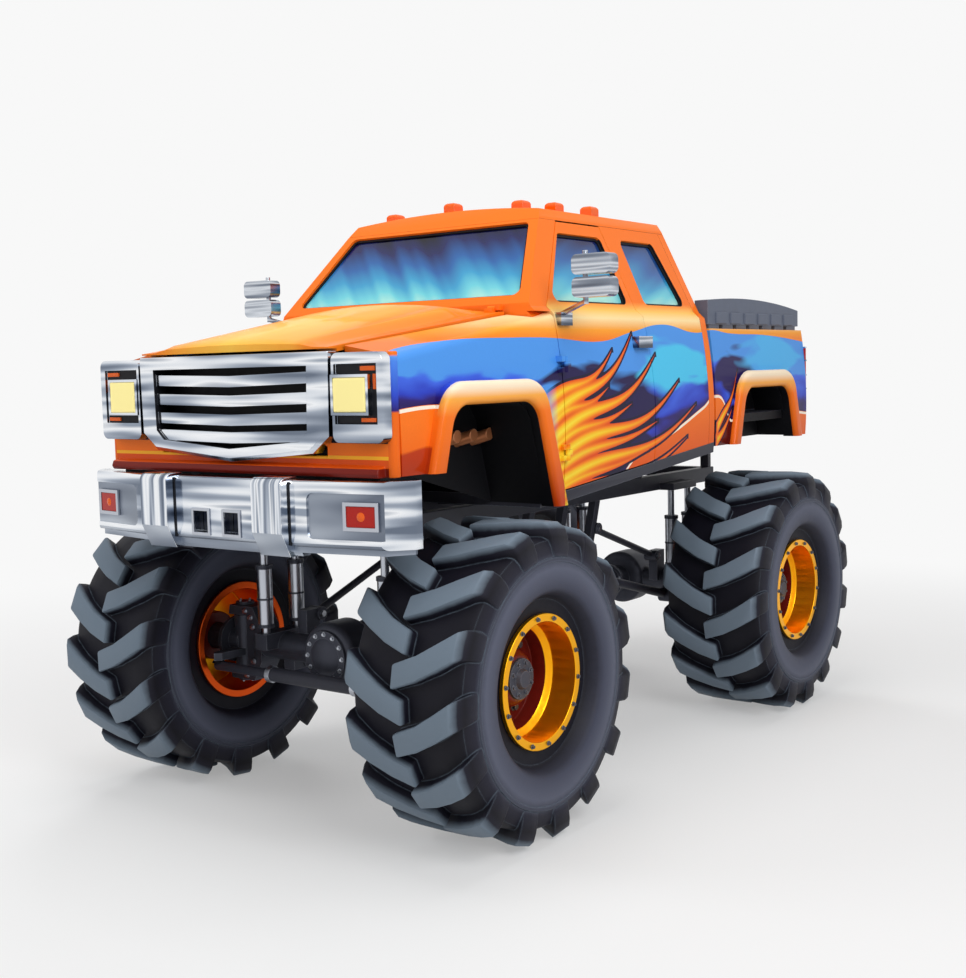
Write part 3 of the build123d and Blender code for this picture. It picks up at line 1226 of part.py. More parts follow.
with BuildPart() as left_trim:
    stem_y = MIRROR_Y - 60
    elbow = (MIRROR_X, stem_y, MIRROR_LOWS[0] - 21)
    add([mirror_head(low) for low in MIRROR_LOWS])
    add(rod((MIRROR_X, stem_y, MIRROR_LOWS[0] - 36), (MIRROR_X, stem_y, MIRROR_LOWS[1] + 133), MIRROR_STEM))
    add(rod((sum(MIRROR_FOOT[:2]) / 2, SIDE_Y - 115, 2735), elbow, MIRROR_STEM))
    add([block(*MIRROR_FOOT), block(*HANDLE)])
    add(cab_outer.part, mode=Mode.SUBTRACT)
    trim_solids = left_trim.solids().filter_by(lambda solid: solid.volume > 1e5)
for side, left in SIDES.items():
    with BuildPart() as trim:
        for solid in trim_solids:
            add(solid if left > 0 else flipped(solid))
    write(trim.part, f"door_trim_{side}")

# Roof lights: three over the windscreen and two along each side
# Columns: place along, place across
ROOF_LIGHTS = ((445, 0), (415, 500), (200, 600), (-130, 650))
ROOF_LIGHT_HALF = (48, 42)
ROOF_LIGHT_TOP = ROOF_Z + 60
ROOF_LIGHT_FALL = 0.05  # drop of the tops for each unit outboard


def roof_light(x, y):
    """One rounded lamp, cut off by the roof."""
    along, beside = ROOF_LIGHT_HALF
    top = ROOF_LIGHT_TOP - ROOF_LIGHT_FALL * y
    with BuildPart() as light:
        add(block(x - along, x + along, y - beside, y + beside, EAVES[1] - 20, top))
        fillet(light.faces().sort_by(Axis.Z)[-1].edges(), 26)
        add(cab_outer.part, mode=Mode.SUBTRACT)
    return light.part


with BuildPart() as roof_lights:
    for x, y in ROOF_LIGHTS:
        add(roof_light(x, y))
        if y:
            add(flipped(roof_light(x, y)))
write(roof_lights.part, "roof_lights")
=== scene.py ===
"""Dresses the monster truck: paint, chrome, rubber, glass, padding and the small hardware.

Metres, in the truck's own frame: +X forward, +Y to the truck's left, +Z up, the ground at zero.
"""

from __future__ import annotations

import json
import logging
import math
from abc import ABC, abstractmethod
from collections.abc import Callable, Iterable, Sequence
from dataclasses import dataclass, field
from enum import Enum

import bmesh
import bpy
from mathutils import Matrix, Vector

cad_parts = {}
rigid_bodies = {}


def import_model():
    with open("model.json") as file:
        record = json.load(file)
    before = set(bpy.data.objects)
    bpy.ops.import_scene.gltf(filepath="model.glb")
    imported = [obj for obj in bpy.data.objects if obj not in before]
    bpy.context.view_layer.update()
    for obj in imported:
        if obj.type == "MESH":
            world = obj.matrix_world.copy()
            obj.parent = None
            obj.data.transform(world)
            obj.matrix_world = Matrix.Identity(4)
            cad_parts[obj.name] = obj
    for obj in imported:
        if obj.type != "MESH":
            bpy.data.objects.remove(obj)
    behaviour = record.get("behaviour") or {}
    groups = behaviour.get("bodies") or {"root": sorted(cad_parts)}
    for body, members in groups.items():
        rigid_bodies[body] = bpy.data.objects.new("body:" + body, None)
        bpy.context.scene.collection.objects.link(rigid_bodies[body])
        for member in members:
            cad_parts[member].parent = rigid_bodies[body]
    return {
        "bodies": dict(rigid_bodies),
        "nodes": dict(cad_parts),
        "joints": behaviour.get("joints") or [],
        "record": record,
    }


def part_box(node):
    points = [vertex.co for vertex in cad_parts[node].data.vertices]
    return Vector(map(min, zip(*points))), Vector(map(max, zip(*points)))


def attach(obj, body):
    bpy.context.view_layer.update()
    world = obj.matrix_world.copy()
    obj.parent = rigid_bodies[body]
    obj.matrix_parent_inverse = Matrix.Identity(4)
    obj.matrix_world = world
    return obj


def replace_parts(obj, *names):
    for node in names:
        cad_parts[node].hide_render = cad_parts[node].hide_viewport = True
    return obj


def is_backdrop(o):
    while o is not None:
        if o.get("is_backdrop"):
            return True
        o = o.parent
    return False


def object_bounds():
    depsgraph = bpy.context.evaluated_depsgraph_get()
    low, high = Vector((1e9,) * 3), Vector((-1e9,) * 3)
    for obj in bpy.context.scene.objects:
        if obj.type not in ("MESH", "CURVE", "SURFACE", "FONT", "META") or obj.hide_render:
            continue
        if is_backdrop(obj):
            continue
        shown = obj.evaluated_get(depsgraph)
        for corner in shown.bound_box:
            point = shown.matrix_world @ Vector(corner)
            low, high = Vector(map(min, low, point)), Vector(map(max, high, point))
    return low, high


LOG = logging.getLogger("truck")
MM = 0.001
MIX_A, MIX_B, MIX_OUT = 6, 7, 2  # colour sockets of a mix node
AXLE_X, AXLE_Z = 1.625, 0.838  # how far the axles are from the truck's middle, and their height
ARCHES_X = {"front": 1.548, "rear": -1.800}  # middles of the wheel arches

Tree, Node, Socket = bpy.types.NodeTree, bpy.types.Node, bpy.types.NodeSocket
Work, Face, Vert = bmesh.types.BMesh, bmesh.types.BMFace, bmesh.types.BMVert
Point = Sequence[float]
Rows = tuple[tuple[float, ...], ...]
Stops = tuple[tuple[float, str], ...]
Clouds = tuple[tuple[float, float, float, float, str], ...]
Blocks = tuple[tuple[Point, Point, int], ...]


class Side(Enum):
    """The two sides of the truck, with their sign along Y."""

    LEFT = 1
    RIGHT = -1

    @property
    def word(self) -> str:
        """The side's name as the frame spells it."""
        return self.name.lower()


class Axle(Enum):
    """The two axles, with their sign along X."""

    FRONT = 1
    REAR = -1

    @property
    def word(self) -> str:
        """The axle's name as the frame spells it."""
        return self.name.lower()


def linear(code: str) -> tuple[float, float, float, float]:
    """Turns an sRGB hex colour into linear light.

    Args:
        code: The colour, such as "#FF8000".

    Returns:
        Red, green, blue and a full alpha.
    """
    channels = [int(code[at:at + 2], 16) / 255 for at in (1, 3, 5)]
    light = [c / 12.92 if c <= 0.04045 else ((c + 0.055) / 1.055) ** 2.4 for c in channels]
    return light[0], light[1], light[2], 1.0


def add(tree: Tree, kind: str, inputs: dict | None = None, **settings) -> Node:
    """Adds a shader node.

    Args:
        tree: The node tree that gets it.
        kind: The node's type, without the ShaderNode prefix.
        inputs: A value or an output socket for each input, by name or index.
        **settings: The node's own settings.

    Returns:
        The new node.
    """
    made = tree.nodes.new("ShaderNode" + kind)
    for name, value in settings.items():
        setattr(made, name, value)
    for key, value in (inputs or {}).items():
        if isinstance(value, Socket):
            tree.links.new(value, made.inputs[key])
        else:
            made.inputs[key].default_value = value
    return made


@dataclass(frozen=True)
class Finish(ABC):
    """A surface finish, which becomes one material.

    Attributes:
        name: What the finish is.
        slot: The record's material slot that it belongs to; it is not used.
    """

    name: str
    slot: str

    def material(self) -> bpy.types.Material:
        """Returns the finish as a material, which is made once."""
        made = bpy.data.materials.get(self.name)
        if made is None:
            made = bpy.data.materials.new(self.name)
            made.use_nodes = True
            self.dress(made.node_tree, made.node_tree.nodes["Principled BSDF"])
        return made

    @abstractmethod
    def dress(self, tree: Tree, shader: Node) -> None:
        """Gives the shader its values and patterns.

        Args:
            tree: The material's nodes.
            shader: Its principled shader.
        """

    @staticmethod
    def grain(tree: Tree, size_mm: float, detail: float = 3.0) -> Socket:
        """Makes soft noise whose lumps have a real size.

        Args:
            tree: The material's nodes.
            size_mm: The lumps' size.
            detail: How many finer layers it has.

        Returns:
            The noise, from 0 to 1.
        """
        place = add(tree, "TexCoord").outputs["Object"]
        inputs = {"Vector": place, "Scale": 1000 / size_mm, "Detail": detail}
        return add(tree, "TexNoise", inputs).outputs["Fac"]

    @staticmethod
    def ramp(tree: Tree, value: Socket, stops: Stops, steps: str = "LINEAR") -> Socket:
        """Colours a value.

        Args:
            tree: The material's nodes.
            value: What is coloured.
            stops: Values in rising order, each with its hex colour.
            steps: How the ramp runs between its stops.

        Returns:
            The colour.
        """
        low, high = stops[0][0], stops[-1][0]
        share = add(tree, "MapRange", {"Value": value, 1: low, 2: high}).outputs["Result"]
        made = add(tree, "ValToRGB", {0: share})
        made.color_ramp.interpolation = steps
        elements = made.color_ramp.elements
        elements[0].color, elements[1].color = linear(stops[0][1]), linear(stops[-1][1])
        for at, code in stops[1:-1]:
            elements.new((at - low) / (high - low)).color = linear(code)
        return made.outputs["Color"]

    @staticmethod
    def layered(tree: Tree, ground: Socket | tuple, *coats: tuple[Socket, Socket | tuple]) -> Socket:
        """Lays coats over a ground colour, each through its own mask.

        Args:
            tree: The material's nodes.
            ground: The colour beneath.
            *coats: The mask, from 0 to 1, and the colour of each coat.

        Returns:
            The colour on top.
        """
        for mask, colour in coats:
            inputs = {0: mask, MIX_A: ground, MIX_B: colour}
            ground = add(tree, "Mix", inputs, data_type="RGBA").outputs[MIX_OUT]
        return ground


@dataclass(frozen=True)
class Lacquer(Finish):
    """Two-stage car paint: sprayed pigment under a polished clear coat.

    The eye gets a deep even colour, a sharp reflection and, close up, a faint orange peel.

    Attributes:
        colour: The pigment.
        shade: The darker orange that it fades to towards the sills: painted shade.
        fade: The heights between which the shade turns to the colour.
        flake_mm: Spread of the pigment's mottle, far coarser than real flake so that it shows.
        mottle: Least and most of the pigment's brightness.
        peel_mm: Spacing of the clear coat's orange peel.
        peel_depth_mm: Its depth.
        roughness: The pigment's own polish.
        specular: The pigment's own reflection.
        coat: Weight of the clear coat.
        coat_roughness: Its polish.
    """

    colour: str = "#F9771A"
    shade: str = "#E2560F"
    fade: tuple[float, float] = (1.7, 2.35)
    flake_mm: float = 5.0
    mottle: tuple[float, float] = (0.93, 1.07)
    peel_mm: float = 16.0
    peel_depth_mm: float = 0.12
    roughness: float = 0.42
    specular: float = 0.05
    coat: float = 0.24
    coat_roughness: float = 0.035

    def pigment(self, tree: Tree) -> Socket:
        """Returns the colour under the clear coat, darker towards the sills as painted shade."""
        place = add(tree, "SeparateXYZ", {0: add(tree, "TexCoord").outputs["Object"]})
        # Painted shade: the orange darkens towards the sills
        spot = {"Value": place.outputs["Z"], "From Min": self.fade[0], "From Max": self.fade[1]}
        share = add(tree, "MapRange", spot, interpolation_type="SMOOTHSTEP").outputs["Result"]
        return self.layered(tree, linear(self.shade), (share, linear(self.colour)))

    def dress(self, tree: Tree, shader: Node) -> None:
        """Lays the pigment, its mottle and the clear coat."""
        shader.inputs["Roughness"].default_value = self.roughness
        shader.inputs["Specular IOR Level"].default_value = self.specular
        shader.inputs["Coat Weight"].default_value = self.coat
        shader.inputs["Coat Roughness"].default_value = self.coat_roughness
        low, high = self.mottle
        flakes = {"Value": self.grain(tree, self.flake_mm), "To Min": low, "To Max": high}
        mottle = add(tree, "MapRange", flakes).outputs["Result"]
        tinted = add(tree, "HueSaturation", {"Color": self.pigment(tree), "Value": mottle})
        tree.links.new(tinted.outputs["Color"], shader.inputs["Base Color"])
        dents = {"Height": self.grain(tree, self.peel_mm, 1.0), "Distance": self.peel_depth_mm * MM}
        peel = add(tree, "Bump", {**dents, "Strength": 1.0})
        tree.links.new(peel.outputs["Normal"], shader.inputs["Normal"])


@dataclass(frozen=True)
class BandedLacquer(Lacquer):
    """Lacquer masked off in level bands.

    Attributes:
        bands: Height at which each colour starts.
        wings: The same for the panel's outer ends.
        wing_y: How far out those begin.
    """

    # Default bands: an oxblood foot and black above it, both painted shade
    bands: Stops = ((1.90, "#7A1D12"), (2.20, "#0B0B10"))
    wings: Stops = (
        (2.255, "#F06A16"),
        (2.265, "#2B1C6E"),
        (2.34, "#2F4AC8"),
        (2.50, "#4C86EA"),
        (2.525, "#5C9CF0"),
        (2.535, "#F9771A"),
    )
    wing_y: float = 1.022

    def pigment(self, tree: Tree) -> Socket:
        """Returns the bands' colours."""
        place = add(tree, "SeparateXYZ", {0: add(tree, "TexCoord").outputs["Object"]})
        wide = add(tree, "Math", {0: place.outputs["Y"]}, operation="ABSOLUTE").outputs[0]
        outer = add(tree, "Math", {0: wide, 1: self.wing_y}, operation="GREATER_THAN").outputs[0]
        height = place.outputs["Z"]
        bands = self.ramp(tree, height, self.bands, "CONSTANT")
        return self.layered(tree, bands, (outer, self.ramp(tree, height, self.wings)))


@dataclass(frozen=True)
class FadedLacquer(Lacquer):
    """Lacquer with a painted highlight: yellow along the truck's middle, fading to orange outwards.

    Attributes:
        fades: Distance from the middle, with half of the unevenness added, and the colour there, palest where
            the painted highlight lies.
        stretch: How the unevenness is squeezed along each axis.
        uneven: How far it moves the fade.
    """

    fades: Stops = (
        (0.15, "#FFC64C"),
        (0.49, "#FDB03A"),
        (0.70, "#F98A20"),
        (0.95, "#F9771A"),
    )
    stretch: tuple[float, float, float] = (1.4, 6.0, 2.0)
    uneven: float = 0.3

    def pigment(self, tree: Tree) -> Socket:
        """Returns the painted highlight's fade, blown unevenly along the truck."""
        place = add(tree, "TexCoord").outputs["Object"]
        across = add(tree, "SeparateXYZ", {0: place}).outputs["Y"]
        wide = add(tree, "Math", {0: across}, operation="ABSOLUTE").outputs[0]
        drawn = add(tree, "Mapping", {0: place, "Scale": self.stretch}).outputs[0]
        blown = add(tree, "TexNoise", {"Vector": drawn, "Scale": 1.0, "Detail": 1.0}).outputs["Fac"]
        moved = {0: blown, 1: self.uneven, 2: wide}
        return self.ramp(tree, add(tree, "Math", moved, operation="MULTIPLY_ADD").outputs[0], self.fades)


@dataclass(frozen=True)
class FlameLacquer(Lacquer):
    """The sides' airbrushed lacquer: a blue sweep with tongues of flame over the orange.

    Attributes:
        tongues: Root x, root z, tip x, tip z, half width at the root, bow and curl of each tongue.
        taper: How fast a tongue narrows: 1 is a straight-sided one.
        melt: How far two tongues melt into each other where they meet.
        clouds: Soft clouds in the sweep: middle x and z, half length, half height, colour.
        embers: The same below it: a dark red flame at the bed's front corner, and painted shade along the
            sills and the front fender's foot.
        ragged: How far the streaks fray the clouds.
        cloud_edge: Frayed distances from a cloud's middle, in half sizes, at which it starts and is full.
        ground: Height and colour outside the sweep: painted shade darkening to red at the sills, and a
            painted cream highlight along the belt.
        flares: Height and colour on the arch flares: painted shade at their foot, a painted cream highlight
            on their tops.
        blues: Share of the sweep's height, moved by the streaks, and the colour there.
        flame: Distance outside a flame's edge and the colour there.
        sweep: Place along the truck, lower and upper edge of the blue sweep.
        streak: How the airbrushed streaks are squeezed along each axis.
        streaked: How far they move the blues.
        pinstripe: Colour of the pale line under the sweep.
        stripe: Its middle over the sweep's lower edge, and half its width.
        outline: Colour of the dark line round the flames.
        line: Its width.
        root_x: Where the flames fade in, from the rear forward.
        flare_y: How far out the plain arch flares begin.
        hinge_x: The stretch where the hinges, not a flare, stand out from the skin.
        span_x: The stretch along the truck that the sweep's curves cover.
        span_z: The heights that they cover.
    """

    tongues: Rows = (
        (1.06, 2.24, 0.28, 2.55, 0.054, -0.04, 0.03),
        (1.06, 2.15, 0.02, 2.65, 0.064, -0.07, 0.04),
        (1.06, 2.08, 0.36, 2.33, 0.050, 0.02, 0.03),
        (1.06, 2.01, -0.24, 2.52, 0.066, -0.05, 0.05),
        (1.06, 1.94, 0.10, 2.22, 0.052, 0.03, 0.03),
        (1.06, 1.88, -0.52, 2.35, 0.064, -0.04, 0.06),
        (1.06, 1.81, -0.22, 2.10, 0.054, 0.03, 0.03),
        (1.06, 1.75, -0.74, 2.19, 0.060, -0.05, 0.05),
        (1.06, 1.70, -0.10, 1.93, 0.046, 0.02, 0.02),
        (1.06, 1.65, -0.62, 1.98, 0.048, -0.04, 0.04),
        (-1.04, 2.00, -1.38, 2.40, 0.050, -0.05, 0.02),
        (-1.04, 1.92, -1.28, 2.14, 0.046, -0.03, 0.0),
    )
    taper: float = 0.85
    melt: float = 0.032
    clouds: Clouds = (
        (0.34, 2.10, 0.74, 0.40, "#1C1048"),
        (-0.46, 2.44, 0.50, 0.20, "#4CC6F0"),
        (-1.36, 2.32, 0.34, 0.26, "#211250"),
        (-2.00, 2.50, 0.60, 0.14, "#4FB4F0"),
    )
    embers: Clouds = (
        # The first is a dark red flame at the bed's front corner; the other two are painted shade along the
        # sills and the front fender's foot
        (-1.22, 1.86, 0.24, 0.26, "#5E1410"),
        (0.20, 1.62, 0.80, 0.12, "#7A1D12"),
        (2.20, 1.98, 0.40, 0.10, "#B9380F"),
    )
    ragged: float = 2.2
    cloud_edge: tuple[float, float] = (2.05, 1.80)
    # Painted shade at the sills, a painted cream highlight along the belt
    ground: Stops = (
        (1.66, "#B9380F"),
        (1.80, "#E2560F"),
        (2.20, "#F9771A"),
        (2.60, "#F9771A"),
        (2.67, "#FDA22A"),
        (2.74, "#FFE0A4"),
        (2.79, "#FFC258"),
        (2.85, "#F9771A"),
    )
    # Painted shade at the flares' foot, a painted cream highlight on their tops
    flares: Stops = (
        (1.70, "#C8420F"),
        (1.95, "#F06A16"),
        (2.22, "#F9771A"),
        (2.31, "#FDAE48"),
        (2.36, "#FFE9CB"),
    )
    blues: Stops = (
        (0.42, "#221245"),
        (0.58, "#2B1C6E"),
        (0.70, "#2B3FBE"),
        (0.92, "#3F66E0"),
        (1.00, "#4D96E8"),
    )
    flame: Stops = (
        (-0.055, "#FFE23C"),
        (-0.033, "#FFC21C"),
        (-0.0165, "#FB8416"),
        (0.0, "#E8480C"),
    )
    sweep: Rows = (
        (2.40, 2.26, 2.52),
        (1.90, 2.28, 2.60),
        (1.30, 2.16, 2.62),
        (0.92, 1.80, 2.62),
        (0.40, 1.74, 2.60),
        (0.00, 1.92, 2.66),
        (-0.40, 2.02, 2.71),
        (-0.85, 2.17, 2.66),
        (-1.07, 2.24, 2.68),
        (-1.30, 2.05, 2.66),
        (-1.90, 2.10, 2.65),
        (-2.60, 2.06, 2.60),
    )
    streak: tuple[float, float, float] = (1.0, 1.0, 3.2)
    streaked: float = 0.9
    pinstripe: str = "#FFF1DC"
    stripe: tuple[float, float] = (-0.012, 0.009)
    outline: str = "#130A2C"
    line: float = 0.017
    root_x: tuple[float, float] = (0.92, 1.06)
    flare_y: float = 1.088
    hinge_x: tuple[float, float] = (0.70, 0.955)
    span_x: tuple[float, float] = (-2.7, 2.5)
    span_z: tuple[float, float] = (1.6, 2.9)

    def edge(self, tree: Tree, along: Socket, column: int) -> Socket:
        """Draws one edge of the blue sweep.

        Args:
            tree: The material's nodes.
            along: The surface's x as a share of the span.
            column: Which column of the sweep's table holds the edge's height.

        Returns:
            The edge's height at each place along the truck.
        """
        (rear, front), (low, high) = self.span_x, self.span_z
        curve = add(tree, "FloatCurve", {"Value": along})
        points = curve.mapping.curves[0].points
        shares = [
            ((row[0] - rear) / (front - rear), (row[column] - low) / (high - low))
            for row in sorted(self.sweep)
        ]
        points[0].location, points[1].location = shares[0], shares[-1]
        for place in shares[1:-1]:
            points.new(*place)
        curve.mapping.update()
        height = {"Value": curve.outputs["Value"], "To Min": low, "To Max": high}
        return add(tree, "MapRange", height).outputs["Result"]

    def outside(self, tree: Tree, x: Socket, z: Socket) -> Socket:
        """Measures how far each place lies outside the flames.

        Args:
            tree: The material's nodes.
            x: The surface's place along the truck.
            z: Its height.

        Returns:
            The distance in metres, negative inside the flames.
        """
        nearest: Socket | float = 1.0
        for root_x, root_z, tip_x, tip_z, half, bow, curl in self.tongues:
            spot = {"Value": x, "From Min": root_x, "From Max": tip_x}
            share = add(tree, "MapRange", spot).outputs["Result"]
            left = add(tree, "Math", {0: 1.0, 1: share}, operation="SUBTRACT").outputs[0]
            arch = add(tree, "Math", {0: share, 1: left}, operation="MULTIPLY").outputs[0]
            bowed = add(tree, "Math", {0: arch, 1: 4 * bow, 2: root_z}, operation="MULTIPLY_ADD").outputs[0]
            swung = add(tree, "Math", {0: share, 1: math.tau}, operation="MULTIPLY").outputs[0]
            swing = add(tree, "Math", {0: swung}, operation="SINE").outputs[0]
            curled = add(tree, "Math", {0: swing, 1: curl, 2: bowed}, operation="MULTIPLY_ADD").outputs[0]
            middle = add(tree, "Math", {0: share, 1: tip_z - root_z, 2: curled}, operation="MULTIPLY_ADD")
            aside = add(tree, "Math", {0: z, 1: middle.outputs[0]}, operation="SUBTRACT").outputs[0]
            away = add(tree, "Math", {0: aside}, operation="ABSOLUTE").outputs[0]
            taper = add(tree, "Math", {0: left, 1: self.taper}, operation="POWER").outputs[0]
            reach = add(tree, "Math", {0: taper, 1: -half, 2: away}, operation="MULTIPLY_ADD").outputs[0]
            past = add(tree, "Math", {0: tip_x, 1: x}, operation="SUBTRACT").outputs[0]
            short = add(tree, "Math", {0: x, 1: root_x}, operation="SUBTRACT").outputs[0]
            ends = add(tree, "Math", {0: past, 1: short}, operation="MAXIMUM").outputs[0]
            clear = add(tree, "Math", {0: reach, 1: ends}, operation="MAXIMUM").outputs[0]
            joined = {0: nearest, 1: clear, 2: self.melt}
            nearest = add(tree, "Math", joined, operation="SMOOTH_MIN").outputs[0]
        return nearest

    def clouded(self, tree: Tree, wave: Socket, colour: Socket, clouds: Clouds) -> Socket:
        """Blows soft clouds over a colour.

        Args:
            tree: The material's nodes.
            wave: The unevenness of the clouds' edges.
            colour: The colour beneath.
            clouds: The clouds' table.

        Returns:
            The clouded colour.
        """
        place = add(tree, "TexCoord").outputs["Object"]
        start, full = self.cloud_edge
        for x, z, half_x, half_z, code in clouds:
            off = add(tree, "VectorMath", {0: place, 1: (x, 0.0, z)}, operation="SUBTRACT").outputs[0]
            size = (1 / half_x, 0.0, 1 / half_z)
            scaled = add(tree, "VectorMath", {0: off, 1: size}, operation="MULTIPLY").outputs[0]
            far = add(tree, "VectorMath", {0: scaled}, operation="LENGTH").outputs["Value"]
            frayed = add(tree, "Math", {0: wave, 1: self.ragged, 2: far}, operation="MULTIPLY_ADD").outputs[0]
            near = add(tree, "MapRange", {"Value": frayed, 1: start, 2: full}).outputs["Result"]
            colour = self.layered(tree, colour, (near, linear(code)))
        return colour

    def pigment(self, tree: Tree) -> Socket:
        """Returns the artwork, from the ground colour up to the flames."""
        place = add(tree, "TexCoord").outputs["Object"]
        x, y, z = add(tree, "SeparateXYZ", {0: place}).outputs
        spot = {"Value": x, "From Min": self.span_x[0], "From Max": self.span_x[1]}
        along = add(tree, "MapRange", spot).outputs["Result"]
        low, high = self.edge(tree, along, 1), self.edge(tree, along, 2)
        share = add(tree, "MapRange", {"Value": z, 1: low, 2: high}, clamp=False).outputs["Result"]

        # Airbrushed streaks, drawn out along the truck
        drawn = add(tree, "Mapping", {0: place, "Scale": self.streak}).outputs[0]
        streak = {"Vector": drawn, "Scale": 1.9, "Detail": 1.5, "Distortion": 0.6}
        wave = add(tree, "TexNoise", streak).outputs["Fac"]
        tone = add(tree, "Math", {0: wave, 1: self.streaked, 2: share}, operation="MULTIPLY_ADD").outputs[0]
        blue = self.clouded(tree, wave, self.ramp(tree, tone, self.blues), self.clouds)
        # Outside the sweep: painted shade towards the sills and a painted cream highlight along the belt,
        # under clouds of which two are painted shade
        ground = self.clouded(tree, wave, self.ramp(tree, z, self.ground), self.embers)

        # The sweep, and a pale pinstripe under it
        inside = add(tree, "Math", {0: share, 1: 0.5, 2: 0.5}, operation="COMPARE").outputs[0]
        rise = add(tree, "Math", {0: z, 1: low}, operation="SUBTRACT").outputs[0]
        at, half = self.stripe
        stripe = add(tree, "Math", {0: rise, 1: at, 2: half}, operation="COMPARE").outputs[0]
        sweep = self.layered(tree, ground, (inside, blue), (stripe, linear(self.pinstripe)))

        # A dark line, then flames that pale from orange edges to yellow cores
        outside = self.outside(tree, x, z)
        lined = add(tree, "Math", {0: outside, 1: self.line}, operation="LESS_THAN").outputs[0]
        filled = add(tree, "Math", {0: outside, 1: 0.0}, operation="LESS_THAN").outputs[0]
        flame = self.ramp(tree, outside, self.flame)

        # The flames grow out of the sweep behind the front arch, and the flares stay free of art, with
        # painted shade at their foot and a painted highlight on their tops
        root = add(tree, "MapRange", {"Value": x, 1: self.root_x[0], 2: self.root_x[1]}).outputs["Result"]
        wide = add(tree, "Math", {0: y}, operation="ABSOLUTE").outputs[0]
        proud = add(tree, "Math", {0: wide, 1: self.flare_y}, operation="GREATER_THAN").outputs[0]
        middle, half = sum(self.hinge_x) / 2, (self.hinge_x[1] - self.hinge_x[0]) / 2
        hinge = add(tree, "Math", {0: x, 1: middle, 2: half}, operation="COMPARE").outputs[0]
        flare = add(tree, "Math", {0: proud, 1: hinge}, operation="SUBTRACT", use_clamp=True).outputs[0]
        flames = ((lined, linear(self.outline)), (filled, flame), (root, sweep))
        return self.layered(tree, sweep, *flames, (flare, self.ramp(tree, z, self.flares)))


@dataclass(frozen=True)
class Metal(Finish):
    """A bare, plated or anodised metal, with faint smears in its polish.

    Attributes:
        colour: The metal's own colour.
        roughness: The polish, from mirror to matt.
        smear_mm: Size of the smears.
        smear: How far the smears change the roughness.
    """

    colour: str = "#E9EBEF"
    roughness: float = 0.09
    smear_mm: float = 60.0
    smear: float = 0.06

    def dress(self, tree: Tree, shader: Node) -> None:
        """Sets the metal and smears its polish."""
        shader.inputs["Base Color"].default_value = linear(self.colour)
        shader.inputs["Metallic"].default_value = 1.0
        polish = {"To Min": self.roughness, "To Max": self.roughness + self.smear}
        smears = add(tree, "MapRange", {"Value": self.grain(tree, self.smear_mm), **polish})
        tree.links.new(smears.outputs["Result"], shader.inputs["Roughness"])


@dataclass(frozen=True)
class StreakedMetal(Metal):
    """Plating with painted reflections: level streaks of colour from dark to bright.

    Attributes:
        streaks: Share of the streak noise and the painted reflection's colour there.
        stretch: How the streaks are squeezed along each axis.
    """

    streaks: Stops = (
        (0.32, "#6C7686"),
        (0.43, "#A3ACBA"),
        (0.52, "#DDE2E9"),
        (0.60, "#F4F6F9"),
        (0.70, "#939DAC"),
    )
    stretch: tuple[float, float, float] = (1.0, 0.6, 9.0)

    def dress(self, tree: Tree, shader: Node) -> None:
        """Sets the metal and paints its reflection streaks into its colour."""
        super().dress(tree, shader)
        place = add(tree, "TexCoord").outputs["Object"]
        drawn = add(tree, "Mapping", {0: place, "Scale": self.stretch}).outputs[0]
        wave = add(tree, "TexNoise", {"Vector": drawn, "Scale": 1.6, "Detail": 1.0}).outputs["Fac"]
        tree.links.new(self.ramp(tree, wave, self.streaks), shader.inputs["Base Color"])


@dataclass(frozen=True)
class Coating(Finish):
    """A sprayed or moulded skin with a fine texture and paler worn edges.

    Attributes:
        colour: The skin's colour.
        worn: The colour on worn edges.
        roughness: From glossy to matt.
        uneven: How far the mottle changes the roughness, either way.
        mottle_mm: Size of the mottle.
        dim: The colour's least brightness in the mottle.
        grain_mm: Spacing of the texture.
        depth_mm: Depth of the texture.
        wear_mm: How far from an edge the wear reaches.
        wear: Turn of the rounded normal, as a cosine, at which the wear starts and is full.
        metallic: Share of metal in the skin.
        specular: Strength of the skin's reflection.
    """

    colour: str = "#33343C"
    worn: str = "#7B7F8A"
    roughness: float = 0.5
    uneven: float = 0.08
    mottle_mm: float = 45.0
    dim: float = 0.78
    grain_mm: float = 6.0
    depth_mm: float = 0.25
    wear_mm: float = 7.0
    wear: tuple[float, float] = (0.98, 0.80)
    metallic: float = 0.0
    specular: float = 0.2

    def skin(self, tree: Tree, mottle: Socket) -> Socket:
        """Returns the unworn colour, a little uneven."""
        *channels, full = linear(self.colour)
        dimmed = (*(self.dim * channel for channel in channels), full)
        return self.layered(tree, dimmed, (mottle, linear(self.colour)))

    def dress(self, tree: Tree, shader: Node) -> None:
        """Lays the skin, its wear and its texture."""
        shader.inputs["Metallic"].default_value = self.metallic
        shader.inputs["Specular IOR Level"].default_value = self.specular
        rounded = add(tree, "Bevel", {"Radius": self.wear_mm * MM}, samples=4).outputs[0]
        flat = add(tree, "NewGeometry").outputs["Normal"]
        turned = add(tree, "VectorMath", {0: rounded, 1: flat}, operation="DOT_PRODUCT").outputs["Value"]
        mottle = self.grain(tree, self.mottle_mm)
        edge = add(tree, "MapRange", {"Value": turned, 1: self.wear[0], 2: self.wear[1]}).outputs["Result"]
        worn = add(tree, "Math", {0: edge, 1: mottle}, operation="MULTIPLY").outputs[0]
        colour = self.layered(tree, self.skin(tree, mottle), (worn, linear(self.worn)))
        tree.links.new(colour, shader.inputs["Base Color"])
        polish = {"To Min": self.roughness - self.uneven, "To Max": self.roughness + self.uneven}
        matt = add(tree, "MapRange", {"Value": mottle, **polish})
        tree.links.new(matt.outputs["Result"], shader.inputs["Roughness"])
        dents = {"Height": self.grain(tree, self.grain_mm), "Distance": self.depth_mm * MM}
        texture = add(tree, "Bump", {**dents, "Strength": 1.0})
        tree.links.new(texture.outputs["Normal"], shader.inputs["Normal"])


